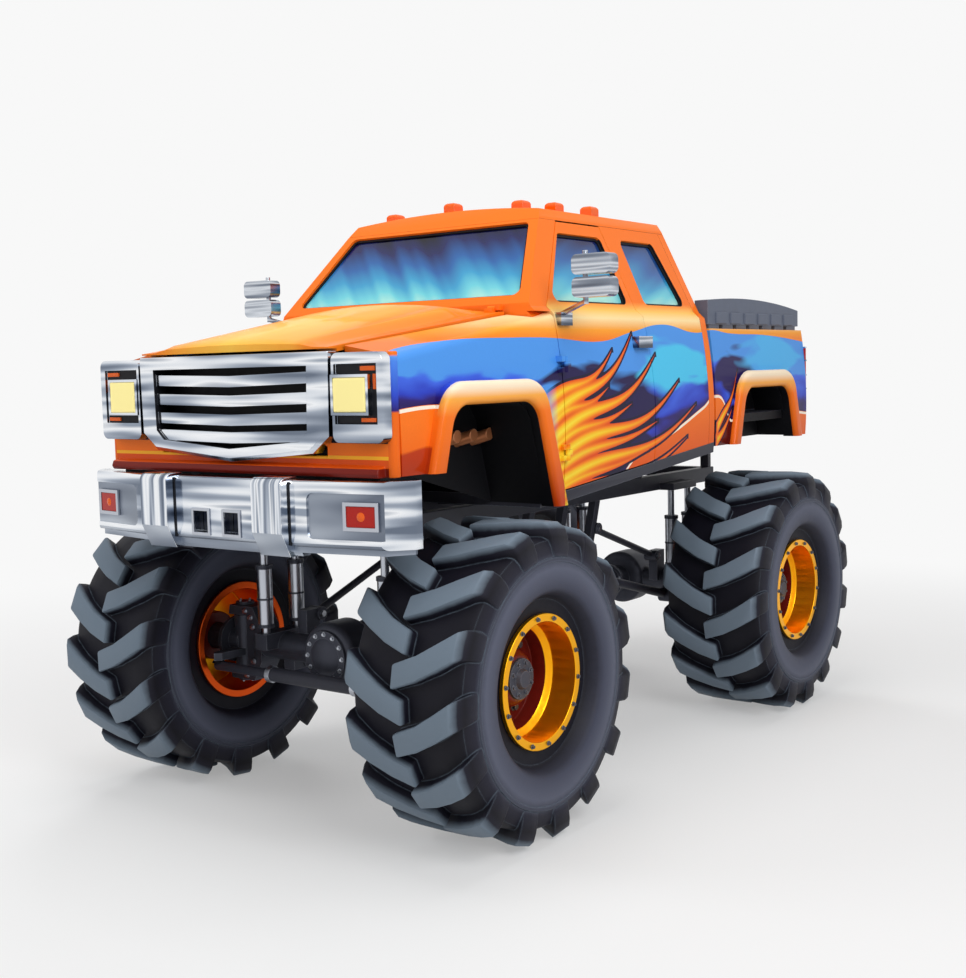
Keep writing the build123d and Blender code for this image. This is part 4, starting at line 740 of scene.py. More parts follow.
@dataclass(frozen=True)
class TyreRubber(Coating):
    """Moulded rubber with painted light by distance from the axle: painted shade at the bead and between the
    lugs, painted highlights on the sidewall's bulge and on the lugs' faces.

    Attributes:
        rings: Distance from the axle and the colour there, as painted shade and painted highlight.
        scuff: How far the mottle moves the rings.
    """

    # Painted shade at the bead, a painted highlight on the sidewall's bulge, painted shade between the lugs,
    # a painted highlight on the lugs' faces
    rings: Stops = (
        (0.36, "#0B0A14"),
        (0.45, "#12111C"),
        (0.50, "#3F4252"),
        (0.60, "#565A6B"),
        (0.68, "#20202D"),
        (0.76, "#0D0C16"),
        (0.80, "#1B1B27"),
        (0.832, "#6F7D8B"),
    )
    scuff: float = 0.012

    def skin(self, tree: Tree, mottle: Socket) -> Socket:
        """Returns the painted shade and highlight at each distance from the axle."""
        place = add(tree, "TexCoord").outputs["Object"]
        folded = add(tree, "VectorMath", {0: place}, operation="ABSOLUTE").outputs[0]
        axle = {0: folded, 1: (AXLE_X, 0.0, AXLE_Z)}
        off = add(tree, "VectorMath", axle, operation="SUBTRACT").outputs[0]
        arm = add(tree, "VectorMath", {0: off, 1: (1.0, 0.0, 1.0)}, operation="MULTIPLY").outputs[0]
        radius = add(tree, "VectorMath", {0: arm}, operation="LENGTH").outputs["Value"]
        moved = add(tree, "Math", {0: mottle, 1: self.scuff, 2: radius}, operation="MULTIPLY_ADD")
        return self.ramp(tree, moved.outputs[0], self.rings)


@dataclass(frozen=True)
class Glass(Finish):
    """Clear or tinted glass, or a moulded lens.

    Attributes:
        colour: The tint that light takes on through it.
        roughness: From clear to frosted.
        through: Share of the light that passes.
        glow: Strength of its own light.
        specular: Strength of its reflection.
        wave_mm: Spacing of its faint waves.
        wave_depth_mm: Their depth.
    """

    colour: str = "#2F7F9E"
    roughness: float = 0.0
    through: float = 1.0
    glow: float = 0.0
    specular: float = 0.25
    wave_mm: float = 180.0
    wave_depth_mm: float = 0.1

    def dress(self, tree: Tree, shader: Node) -> None:
        """Sets the tint and a faint unevenness, as float glass and moulded lenses have."""
        shader.inputs["Base Color"].default_value = linear(self.colour)
        shader.inputs["Transmission Weight"].default_value = self.through
        shader.inputs["IOR"].default_value = 1.5
        shader.inputs["Specular IOR Level"].default_value = self.specular
        shader.inputs["Roughness"].default_value = self.roughness
        shader.inputs["Emission Color"].default_value = linear(self.colour)
        shader.inputs["Emission Strength"].default_value = self.glow
        dents = {"Height": self.grain(tree, self.wave_mm, 0.0), "Distance": self.wave_depth_mm * MM}
        waves = add(tree, "Bump", {**dents, "Strength": 1.0})
        tree.links.new(waves.outputs["Normal"], shader.inputs["Normal"])


@dataclass(frozen=True)
class FilmedGlass(Glass):
    """Window glass with a painted reflection that runs from pale at its foot to dark at its top.

    Attributes:
        bands: Height and the painted reflection's colour there.
        slant: How the painted reflection's streaks lean along each axis.
        stray: How far the streaks move the bands, up or down.
    """

    bands: Stops = (
        (2.82, "#C4FFF2"),
        (2.90, "#7BE4F2"),
        (2.99, "#40AEE0"),
        (3.10, "#2C6CB8"),
        (3.22, "#1D2464"),
        (3.33, "#0A071C"),
    )
    slant: tuple[float, float, float] = (0.5, 1.1, 1.6)
    stray: float = 0.22

    def dress(self, tree: Tree, shader: Node) -> None:
        """Sets the glass and its painted reflection."""
        super().dress(tree, shader)
        place = add(tree, "TexCoord").outputs["Object"]
        height = add(tree, "SeparateXYZ", {0: place}).outputs["Z"]
        lean = add(tree, "VectorMath", {0: place, 1: self.slant}, operation="DOT_PRODUCT").outputs["Value"]
        drawn = add(tree, "CombineXYZ", {"X": lean}).outputs[0]
        wave = add(tree, "TexNoise", {"Vector": drawn, "Scale": 3.4, "Detail": 2.0}).outputs["Fac"]
        move = add(tree, "MapRange", {"Value": wave, "To Min": -self.stray, "To Max": self.stray})
        moved = add(tree, "Math", {0: height, 1: move.outputs["Result"]}, operation="ADD").outputs[0]
        tree.links.new(self.ramp(tree, moved, self.bands), shader.inputs["Base Color"])


# Sprayed orange lacquer of the body, darkening towards the sills as painted shade, and the airbrushed one of
# its sides
ORANGE = Lacquer("orange_lacquer", "paint_orange")
FLAMES = FlameLacquer("flame_airbrushed_lacquer", "paint_orange")
# Decorative chrome: a bright mirror with faint smears, and painted reflection streaks in its colour
CHROME = StreakedMetal("chrome_plate", "chrome")
# Duller plating of the mirrors and handles, with darker painted reflection streaks
DULL_CHROME = StreakedMetal(
    "dull_chrome_plate", "chrome", roughness=0.2, smear=0.08, stretch=(1.0, 0.6, 14.0),
    streaks=((0.34, "#4F5663"), (0.46, "#8B93A0"), (0.56, "#D9DEE5"), (0.68, "#767E8C")),
)
# The same chrome on the bumper's straps, whose painted reflection streaks run upright as reflections on bent
# tube do
TUBE_CHROME = StreakedMetal("tube_chrome_plate", "chrome", stretch=(1.0, 16.0, 0.5))
# Satin nickel of the bumper's inset wings and lower lip, also laid on its down-facing faces as painted shade,
# with painted reflection streaks
SATIN_AND_PAINTED_SHADE = StreakedMetal(
    "satin_nickel", "chrome", roughness=0.34, smear=0.1, stretch=(1.0, 0.8, 4.0),
    streaks=((0.34, "#6D7583"), (0.5, "#8F97A4"), (0.66, "#B9C0CA")),
)
# Hood: orange, with a painted yellow highlight along its middle
HOOD_PAINTED_HIGHLIGHT = FadedLacquer("faded_hood_lacquer", "paint_orange")
# Front panel: black behind the lamps as painted shade, orange below them, a yellow line that is a painted
# highlight, and an oxblood foot that is painted shade
VALANCE = BandedLacquer("banded_lacquer", "paint_orange", bands=(
    (1.90, "#7A1D12"),
    (1.985, "#E2560F"),
    (2.026, "#FDB82A"),
    (2.044, "#F9771A"),
    (2.106, "#0B0B10"),
    (2.20, "#0B0B10"),
))
# Cab front: underseal in the engine bay, orange above it, and no wings
COWL = BandedLacquer(
    "cowl_lacquer", "paint_orange", bands=((1.9, "#0B0B10"), (2.66, "#F9771A")), wing_y=9.0
)
# Powder-coated tube steel: dark, half matt, worn bright along its edges
CHASSIS = Coating("powder_coated_steel", "chassis_paint", colour="#3A3B45", worn="#8C909C", roughness=0.42)
# Moulded tyre rubber: blue-black and matt, with pale edges that are partly scuffing and partly painted
# highlight
RUBBER = TyreRubber(
    "tyre_rubber", "tyre", worn="#66727F", roughness=0.56, grain_mm=9.0, depth_mm=0.5, wear_mm=14.0
)
# Sprayed black underseal in the arches: matt and lumpy
UNDERSEAL = Coating(
    "underseal", "dark_plastic", colour="#0B0B10", worn="#14141A", roughness=0.62, grain_mm=12.0
)
# Black rubber of the window gaskets
GASKET = Coating("gasket_rubber", "dark_plastic", colour="#0F0F14", worn="#23242B", roughness=0.55)
# Gold anodised aluminium: warm, satin
GOLD = Metal(
    "gold_anodised_aluminium", "gold_rim", colour="#FBB31C", roughness=0.34, smear_mm=180.0, smear=0.04
)
# The same, dyed copper red on the rims' inboard half
COPPER = Metal("copper_anodised_aluminium", "gold_rim", colour="#E0561C", roughness=0.28, smear=0.08)
# Dark oxide red on the wheels' discs and hubs, deep in the dish: painted shade
OXIDE_RED_PAINTED_SHADE = Coating("oxide_red_enamel", "gold_rim", colour="#6E1A12", worn="#B0451F", roughness=0.36)
# Safety glass with a painted reflection: sky blue at its foot, dark at its top
WINDOW_PAINTED_REFLECTION = FilmedGlass("filmed_safety_glass", "tinted_glass", through=0.28)
# Silvered mirror glass: all reflection
MIRROR = Metal("silvered_mirror", "bright_steel", colour="#DCE2EA", roughness=0.02, smear=0.02)
# Smoked lamp glass: nearly black, glossy
SMOKED = Glass("smoked_lens", "dark_plastic", colour="#10162F", roughness=0.06, through=0.0)
# Moulded lamp lenses: saturated, glossy, hardly clear
WARM_LENS = Glass("warm_white_lens", "lens_yellow", colour="#FFF0A0", roughness=0.12, through=0.1, glow=0.25)
RED_LENS = Glass("red_lens", "lens_red", colour="#C01A0A", roughness=0.08, through=0.15)
AMBER_LENS = Glass("amber_lens", "lens_amber", colour="#FF6A0F", roughness=0.08, through=0.15)
# Grained black plastic: half matt, with a moulded grain
PLASTIC = Coating(
    "grained_plastic", "dark_plastic", colour="#16171C", worn="#33363F", roughness=0.5, grain_mm=3.0
)
# Sand-cast iron: rough, blue-grey
IRON = Coating(
    "sand_cast_iron", "cast_iron", colour="#4A4C57", worn="#A5A9B4", roughness=0.46, depth_mm=0.6,
    metallic=0.4,
)
# Machined steel: pale, satin
STEEL = Metal("machined_steel", "bright_steel", colour="#B9BDC6", roughness=0.26)
# Ceramic-coated header pipes, baked to a copper tone
HEADER = Coating(
    "ceramic_coated_pipe", "header_coat", colour="#D98A5C", worn="#F6D2B0", roughness=0.34, metallic=0.6
)
# Grey moulded rail caps: half matt
RAIL_CAP = Coating("moulded_rail_cap", "rail_grey", colour="#646B7C", worn="#A9B1BF", roughness=0.44)
# Stitched seat vinyl: dark, a soft gloss over a leather grain
VINYL = Coating("seat_vinyl", "seat_fabric", colour="#2A2C36", worn="#454957", roughness=0.46, grain_mm=4.0)


@dataclass
class Form:
    """Bmesh work in hand, with the operations that the small pieces share.

    Attributes:
        work: The bmesh.
    """

    work: Work = field(default_factory=bmesh.new)

    def marked(self, verts: Iterable[Vert], finish: int) -> list[Vert]:
        """Gives the faces round some corners a material number, and returns the corners."""
        kept = list(verts)
        for face in {face for vert in kept for face in vert.link_faces}:
            face.material_index = finish
        return kept

    def block(self, low: Point, high: Point, finish: int = 0) -> list[Vert]:
        """Adds a box between two corners.

        Args:
            low: Its lowest corner.
            high: Its highest corner.
            finish: Its material number.

        Returns:
            Its corners.
        """
        size = [b - a for a, b in zip(low, high)]
        place = Matrix.Translation((Vector(low) + Vector(high)) / 2) @ Matrix.Diagonal((*size, 1.0))
        return self.marked(bmesh.ops.create_cube(self.work, size=1.0, matrix=place)["verts"], finish)

    def drum(
        self,
        start: Point,
        end: Point,
        radius: float,
        finish: int = 0,
        segments: int = 20,
        end_radius: float | None = None,
    ) -> list[Vert]:
        """Adds a round bar, disc or cone between two points.

        Args:
            start: The middle of its first face.
            end: The middle of its last.
            radius: Its radius.
            finish: Its material number.
            segments: Flats round it.
            end_radius: The last face's radius, where it differs.

        Returns:
            Its corners.
        """
        start, end = Vector(start), Vector(end)
        turn = (end - start).to_track_quat("Z", "Y").to_matrix().to_4x4()
        made = bmesh.ops.create_cone(
            self.work,
            cap_ends=True,
            segments=segments,
            radius1=radius,
            radius2=radius if end_radius is None else end_radius,
            depth=(end - start).length,
            matrix=Matrix.Translation((start + end) / 2) @ turn,
        )
        return self.marked(made["verts"], finish)

    def bolt(self, base: Point, axis: Point, across: float, finish: int = 0) -> None:
        """Adds a hexagon bolt head on its washer.

        Args:
            base: The middle of the washer's underside.
            axis: The way that the bolt points.
            across: The head's width across its corners.
            finish: Its material number.
        """
        base, axis = Vector(base), Vector(axis).normalized()
        seat = base + axis * across * 0.15
        self.drum(base, seat, across * 0.68, finish, 12)
        self.drum(seat, seat + axis * across * 0.5, across * 0.5, finish, 6)

    def bolts(
        self, centre: Point, axis: Point, radius: float, count: int, across: float, finish: int = 0
    ) -> None:
        """Adds a circle of bolts.

        Args:
            centre: The circle's middle, on the face that the bolts sit on.
            axis: The way that they point.
            radius: The circle's radius.
            count: How many there are.
            across: Width of each head.
            finish: Their material number.
        """
        axis = Vector(axis).normalized()
        arm = axis.orthogonal().normalized() * radius
        for k in range(count):
            place = Vector(centre) + Matrix.Rotation(math.tau * (k + 0.5) / count, 3, axis) @ arm
            self.bolt(place, axis, across, finish)

    def rim(self, place: Matrix, width: float, height: float, band: float, depth: float) -> None:
        """Adds a raised frame round a rectangle.

        Args:
            place: The plane's frame, whose Z is the way that the frame rises.
            width: Outer size along the plane's X.
            height: Outer size along its Y.
            band: Width of the frame's bars.
            depth: How far it rises.
        """
        round_it = ((-0.5, -0.5), (0.5, -0.5), (0.5, 0.5), (-0.5, 0.5))
        spots = [place @ Vector((u * width, v * height, 0.0)) for u, v in round_it]
        self.band(self.work.faces.new([self.work.verts.new(spot) for spot in spots]), band, depth)

    def band(self, face: Face, band: float, depth: float) -> None:
        """Turns a face into a raised frame along its edge.

        Args:
            face: The face, which is used up.
            band: Width of the frame's bars.
            depth: How far it rises along the face's normal.
        """
        face.normal_update()
        rise = face.normal * depth
        inset = bmesh.ops.inset_region(
            self.work, faces=[face], thickness=band, use_even_offset=True, use_boundary=True
        )
        ring = inset["faces"]
        bmesh.ops.delete(self.work, geom=[face], context="FACES_ONLY")
        grown = bmesh.ops.extrude_face_region(self.work, geom=ring)["geom"]
        verts = [item for item in grown if isinstance(item, Vert)]
        bmesh.ops.translate(self.work, verts=verts, vec=rise)
        faces = list({face for vert in verts for face in vert.link_faces} | set(ring))
        bmesh.ops.recalc_face_normals(self.work, faces=[face for face in faces if face.is_valid])

    def both_sides(self) -> Form:
        """Repeats everything on the truck's other side."""
        copied = bmesh.ops.duplicate(self.work, geom=list(self.work.faces))["geom"]
        verts = [item for item in copied if isinstance(item, Vert)]
        bmesh.ops.scale(self.work, verts=verts, vec=(1, -1, 1))
        faces = [item for item in copied if isinstance(item, Face)]
        bmesh.ops.reverse_faces(self.work, faces=faces)
        return self


@dataclass
class Workshop:
    """Turns bmesh work and nodes of the frame into finished pieces.

    Attributes:
    """

    frame: dict

    def __post_init__(self) -> None:
        """Notes which body carries each node."""
        bodies = self.frame["record"]["behaviour"]["bodies"]
        self.body_of = {node: body for body, nodes in bodies.items() for node in nodes}

    def piece(
        self, name: str, form: Work, body: str, *finishes: Finish, edge_mm: float = 0.0, sharp: float = 38.0
    ) -> bpy.types.Object:
        """Makes a piece of finished bmesh work.

        Args:
            name: The piece's name.
            form: The work, which is used up.
            body: The body that carries the piece.
            *finishes: Its finishes, in the order of its faces' material numbers.
            edge_mm: Width of the bevel along its sharp edges, if any.
            sharp: Angle in degrees past which an edge stays sharp.

        Returns:
            The piece, riding on its body.
        """
        mesh = bpy.data.meshes.new(name)
        form.to_mesh(mesh)
        form.free()
        mesh.shade_smooth()
        mesh.set_sharp_from_angle(angle=math.radians(sharp))
        for finish in finishes:
            mesh.materials.append(finish.material())
        made = bpy.data.objects.new(name, mesh)
        bpy.context.scene.collection.objects.link(made)
        if edge_mm:
            bevel = made.modifiers.new("edges", "BEVEL")
            bevel.width = edge_mm * MM
            bevel.segments = 2
            bevel.limit_method = "ANGLE"
            bevel.angle_limit = math.radians(sharp)
            bevel.harden_normals = True
        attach(made, body)
        LOG.info("%s on %s, %d faces", name, body, len(mesh.polygons))
        return made

    def copy(self, node: str) -> Work:
        """Copies a node's solid as a welded bmesh with whole flat faces.

        Args:
            node: The node's name.

        Returns:
            The copy.
        """
        form = bmesh.new()
        form.from_mesh(self.frame["nodes"][node].data)
        bmesh.ops.remove_doubles(form, verts=form.verts, dist=0.02 * MM)
        bmesh.ops.dissolve_limit(form, angle_limit=math.radians(0.5), verts=form.verts, edges=form.edges)
        for face in form.faces:
            face.material_index = 0
        return form

    def dress(self, node: str, finish: Finish, edge_mm: float) -> bpy.types.Object:
        """Replaces a node with a finished copy that has soft edges.

        Args:
            node: The node's name.
            finish: The copy's finish.
            edge_mm: Width of its soft edges.

        Returns:
            The piece.
        """
        made = self.piece(f"{node}_finished", self.copy(node), self.body_of[node], finish, edge_mm=edge_mm)
        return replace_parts(made, node)

    def fitting(
        self, name: str, form: Form, body: str, *finishes: Finish, edge_mm: float = 1.5
    ) -> bpy.types.Object:
        """Makes a piece of small work.

        Args:
            name: The piece's name.
            form: The work, which is used up.
            body: The body that carries the piece.
            *finishes: Its finishes, in the order of its material numbers.
            edge_mm: Width of its soft edges.

        Returns:
            The piece.
        """
        return self.piece(name, form.work, body, *finishes, edge_mm=edge_mm)

    def zoned(
        self,
        node: str,
        finishes: Sequence[Finish],
        edge_mm: float,
        zone: Callable[[Face], int],
        shape: Callable[[Work], None] | None = None,
    ) -> bpy.types.Object:
        """Replaces a node with a copy whose faces have finishes by their place.

        Args:
            node: The node's name.
            finishes: The finishes, in the order of their numbers.
            edge_mm: Width of its soft edges.
            zone: Returns the number of a face's finish.
            shape: Works the finished faces over.

        Returns:
            The piece.
        """
        form = self.copy(node)
        form.normal_update()
        for face in form.faces:
            face.material_index = zone(face)
        if shape:
            shape(form)
        made = self.piece(f"{node}_finished", form, self.body_of[node], *finishes, edge_mm=edge_mm)
        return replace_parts(made, node)

    def paint(self, node: str, finish: Finish) -> None:
        """Gives a node of the frame a finish, with its shape as it is."""
        slots = self.frame["nodes"][node].data.materials
        slots.clear()
        slots.append(finish.material())


@dataclass
class Shell:
    """The rigid nodes whose shape stands, with their finishes and soft edges.

    Attributes:
        rows: Finish, edge in millimetres and nodes.
        cab: A point inside the cab.
        arch_half: Half their width.
        arch_foot: The height of their feet.
        arch_top: The height of their inner tops.
        lip_y: How far out their undersealed lips reach.
    """

    cab: Vector = field(default_factory=lambda: Vector((0.1, 0.0, 3.0)))
    arch_half: float = 0.64
    arch_foot: float = 1.68
    arch_top: float = 2.32
    lip_y: float = 1.095
    rows: tuple[tuple[Finish, float, tuple[str, ...]], ...] = (
        (ORANGE, 7.0, ("tailgate",)),
        (COWL, 7.0, ("cab_front",)),
        (VALANCE, 7.0, ("front_panel",)),
        (CHASSIS, 5.0, ("cab_floor", "frame_rails", "frame_braces")),
        (CHROME, 7.0, ("headlamp_bezels",)),
        (DULL_CHROME, 5.0, ("door_trim_left", "door_trim_right")),
        (IRON, 4.0, ("front_axle", "rear_axle", "transfer_case", "engine_block")),
        (IRON, 4.0, tuple(f"knuckle_{axle.word}_{side.word}" for axle in Axle for side in Side)),
        (CHASSIS, 3.0, ("suspension_links", "drive_shafts", "tie_rod_front", "tie_rod_rear")),
        (STEEL, 2.0, ("shocks",)),
        (HEADER, 3.0, ("header_pipes",)),
        (PLASTIC, 4.0, ("radiator", "dashboard", "steering_wheel")),
        (WARM_LENS, 4.0, ("headlamp_lenses",)),
        (RED_LENS, 4.0, ("red_lamps",)),
        (AMBER_LENS, 4.0, ("roof_lights",)),
        (RAIL_CAP, 5.0, ("bed_rails",)),
    )

    def build(self, shop: Workshop) -> None:
        """Dresses each node in the table.

        Args:
            shop: The workshop that makes the pieces.
        """
        for finish, edge_mm, nodes in self.rows:
            for node in nodes:
                shop.dress(node, finish, edge_mm)
        for node in ("fenders", "bed_sides"):
            shop.zoned(node, (FLAMES, UNDERSEAL), 7.0, self.behind)
        for node in ("door_left", "door_right", "cab_sides"):
            shop.zoned(node, (FLAMES, PLASTIC), 7.0, self.indoors)
        for node in ("cab_roof", "cab_back"):
            shop.zoned(node, (ORANGE, PLASTIC), 7.0, self.indoors)
        shop.zoned("hood", (HOOD_PAINTED_HIGHLIGHT, UNDERSEAL), 7.0, lambda face: int(face.normal.z < -0.3))
        shop.zoned("bed_floor", (CHASSIS, UNDERSEAL), 5.0, lambda face: int(face.normal.z < 0.5))

    def indoors(self, face: Face) -> int:
        """Tells the trimmed faces, which look into the cab, from the painted ones."""
        return int(face.normal.dot(self.cab - face.calc_center_median()) > 0.02)

    def behind(self, face: Face) -> int:
        """Tells the undersealed faces, behind the skin and in the arches, from the painted ones."""
        middle = face.calc_center_median()
        outward = math.copysign(face.normal.y, face.normal.y * middle.y)
        arch_x = min(ARCHES_X.values(), key=lambda x: abs(middle.x - x))
        way = Vector((arch_x, middle.y, self.arch_foot)) - middle
        near = abs(middle.x - arch_x) < self.arch_half and middle.z < self.arch_top
        lip = near and abs(middle.y) < self.lip_y and outward < 0.5 and way.dot(face.normal) > 0.0
        return int(outward < -0.3 or lip)


@dataclass
class Glazing:
    """The cab's windows in their gaskets, and the mirrors' glass.

    Attributes:
        panes: The nodes of the glass.
        cab: A point inside the cab.
        band: Width of the gaskets.
        rise: How far they stand over the glass.
        mirrors: Lower ends of the mirror heads.
        mirror_x: Back and front of their glass.
        mirror_y: Its inner and outer edge.
        mirror_z: Its foot and top over the lower ends.
    """

    panes: tuple[str, ...] = ("cab_glass", "door_glass_left", "door_glass_right")
    cab: Vector = field(default_factory=lambda: Vector((0.1, 0.0, 3.05)))
    band: float = 0.017
    rise: float = 0.012
    mirrors: tuple[float, ...] = (2.836, 2.962)
    mirror_x: tuple[float, float] = (0.823, 0.829)
    mirror_y: tuple[float, float] = (1.195, 1.405)
    mirror_z: tuple[float, float] = (0.014, 0.098)

    def gasket(self, shop: Workshop, node: str) -> None:
        """Runs a gasket round the outer face of each pane of a node.

        Args:
            shop: The workshop that makes the pieces.
            node: The node's name.
        """
        glass = shop.copy(node)
        glass.normal_update()
        least = 0.02  # square metres, more than any pane's rim has
        outer = [
            face for face in glass.faces
            if face.calc_area() > least and face.normal.dot(face.calc_center_median() - self.cab) > 0
        ]
        form = Form()
        for face in outer:
            corners = [form.work.verts.new(vert.co) for vert in face.verts]
            form.band(form.work.faces.new(corners), self.band, self.rise)
        glass.free()
        shop.fitting(f"{node}_gaskets", form, shop.body_of[node], GASKET, edge_mm=4.0)

    def build(self, shop: Workshop) -> None:
        """Gives the panes their painted reflection and fits the gaskets and mirror glass.

        Args:
            shop: The workshop that makes the pieces.
        """
        for node in self.panes:
            shop.paint(node, WINDOW_PAINTED_REFLECTION)
            self.gasket(shop, node)
        for side in Side:
            form = Form()
            for low in self.mirrors:
                ends = sorted(side.value * y for y in self.mirror_y)
                heights = (low + rise for rise in self.mirror_z)
                form.block(*zip(self.mirror_x, ends, heights))
            shop.fitting(f"mirror_glass_{side.word}", form, shop.body_of[f"door_trim_{side.word}"], MIRROR)


@dataclass
class Nose:
    """The lamps' inserts, the bumper and its fittings.

    Attributes:
        plates: Low corner, high corner and finish of each insert on the left.
        front_x: The bumper's front between its bends.
        bend_y: How far out the bends are.
        swept: How far its wings go back, and over what width.
        wing: The bumper's wings, from and to in y.
        lip_z: Where its satin foot begins.
    """

    plates: Blocks = (
        ((2.380, 0.742, 2.206), (2.389, 1.012, 2.494), 0),  # behind a headlamp
        ((2.386, 0.905, 2.462), (2.396, 1.000, 2.484), 1),  # amber lenses beside it
        ((2.386, 0.985, 2.372), (2.396, 1.005, 2.446), 1),
        ((2.386, 0.905, 2.214), (2.396, 1.000, 2.234), 1),
        ((2.440, 0.064, 1.642), (2.470, 0.166, 1.750), 2),  # fog lamp's glass
        # These two dark strips beside a strap are painted shadow along its edges
        ((2.526, 0.308, 1.606), (2.535, 0.318, 1.924), 0),  # seams beside a strap
        ((2.526, 0.528, 1.606), (2.535, 0.538, 1.924), 0),
        ((2.260, 0.000, 1.915), (2.335, 0.960, 1.950), 0),  # filler over the bumper
    )
    front_x: float = 2.532
    bend_y: float = 0.590
    swept: tuple[float, float] = (0.075, 0.470)
    wing: tuple[float, float] = (0.640, 1.100)
    lip_z: float = 1.598
    marker: tuple[float, float] = (0.945, 1.761)  # middle, y and z
    strap_y: tuple[float, float] = (0.318, 0.528)
    strap_round: float = 0.045
    corner_round: float = 0.040
    opening: tuple[float, float, float] = (0.592, 2.06, 2.50)  # half width, low and high of the grille's

    def bumper_x(self, y: float) -> float:
        """Place of the bumper's swept-back front face."""
        return self.front_x - self.swept[0] * (abs(y) - self.bend_y) / self.swept[1]

    def zone(self, face: Face) -> int:
        """Tells the bumper's plated faces from its satin ones; the darker satin on down-facing faces is
        painted shade.
        """
        middle = face.calc_center_median()
        # Down-facing faces take the darker satin as painted shade
        if face.normal.z < -0.25:
            return 1
        if self.strap_y[0] - 0.002 < abs(middle.y) < self.strap_y[1] + 0.002 and middle.x > 2.536:
            return 2
        inset = middle.x < self.bumper_x(middle.y) - 0.010 and face.normal.x > 0.9
        in_wing = self.wing[0] < abs(middle.y) < self.wing[1]
        return 1 if middle.z < self.lip_z or (inset and in_wing) else 0

    def grille_zone(self, face: Face) -> int:
        """Tells the black inside of the grille's opening from its plated faces."""
        middle = face.calc_center_median()
        y, low, high = self.opening
        inside = abs(middle.y) < y and low < middle.z < high
        return int(inside and abs(face.normal.x) < 0.5)

    def round_off(self, form: Work) -> None:
        """Rounds the straps' long edges and the bumper's corners, as bent tube and pressed plate have.

        Args:
            form: The bumper's copy.
        """
        straps, corners = [], []
        for edge in form.edges:
            middle = (edge.verts[0].co + edge.verts[1].co) / 2
            sides = [abs(face.normal.y) for face in edge.link_faces]
            by_strap = min(abs(abs(middle.y) - y) for y in self.strap_y) < 0.002
            if by_strap and middle.x > 2.535 and len(sides) == 2 and max(sides) > 0.9 and min(sides) < 0.3:
                straps.append(edge)
            upright = abs(edge.verts[0].co.z - edge.verts[1].co.z) > 0.2
            if upright and abs(middle.y) > 1.04 and middle.x > 2.3 and edge.calc_face_angle(0.0) > 0.2:
                corners.append(edge)
        for edges, width in ((straps, self.strap_round), (corners, self.corner_round)):
            kept = [edge for edge in edges if edge.is_valid]
            bmesh.ops.bevel(
                form,
                geom=kept,
                offset=width,
                segments=4,
                profile=0.5,
                affect="EDGES",
                material=-1,
                clamp_overlap=True,
            )

    def build(self, shop: Workshop) -> None:
        """Makes the inserts, the bumper and the bezels.

        Args:
            shop: The workshop that makes the pieces.
        """
        shop.zoned("bumper", (CHROME, SATIN_AND_PAINTED_SHADE, TUBE_CHROME), 7.0, self.zone, self.round_off)
        shop.zoned("grille", (CHROME, PLASTIC), 7.0, self.grille_zone)
        inserts = Form()
        for low, high, finish in self.plates:
            inserts.block(low, high, finish)
        shop.fitting("lamp_inserts", inserts.both_sides(), "chassis", PLASTIC, AMBER_LENS, SMOKED)

        bezels = Form()
        y, z = self.marker
        across = Vector((-self.swept[0], self.swept[1], 0.0)).normalized()
        up = Vector((0.0, 0.0, 1.0))
        turn = Matrix((across, up, across.cross(up))).transposed().to_4x4()
        spot = Matrix.Translation((self.bumper_x(y) - 0.014, y, z)) @ turn
        bezels.rim(spot, 0.204, 0.142, 0.020, 0.015)
        face = Matrix(((0, 1, 0), (0, 0, 1), (1, 0, 0))).transposed().to_4x4()
        bezels.rim(Matrix.Translation((2.532, 0.115, 1.696)) @ face, 0.138, 0.144, 0.016, 0.008)
        lens = spot @ Vector((0.0, 0.0, 0.008))
        out = (spot @ Vector((0.0, 0.0, 1.0))) - (spot @ Vector((0.0, 0.0, 0.0)))
        bezels.drum(lens, lens + out * 0.008, 0.026, 1, 24, 0.012)
        shop.fitting("bumper_bezels", bezels.both_sides(), "chassis", STEEL, AMBER_LENS, edge_mm=3.0)


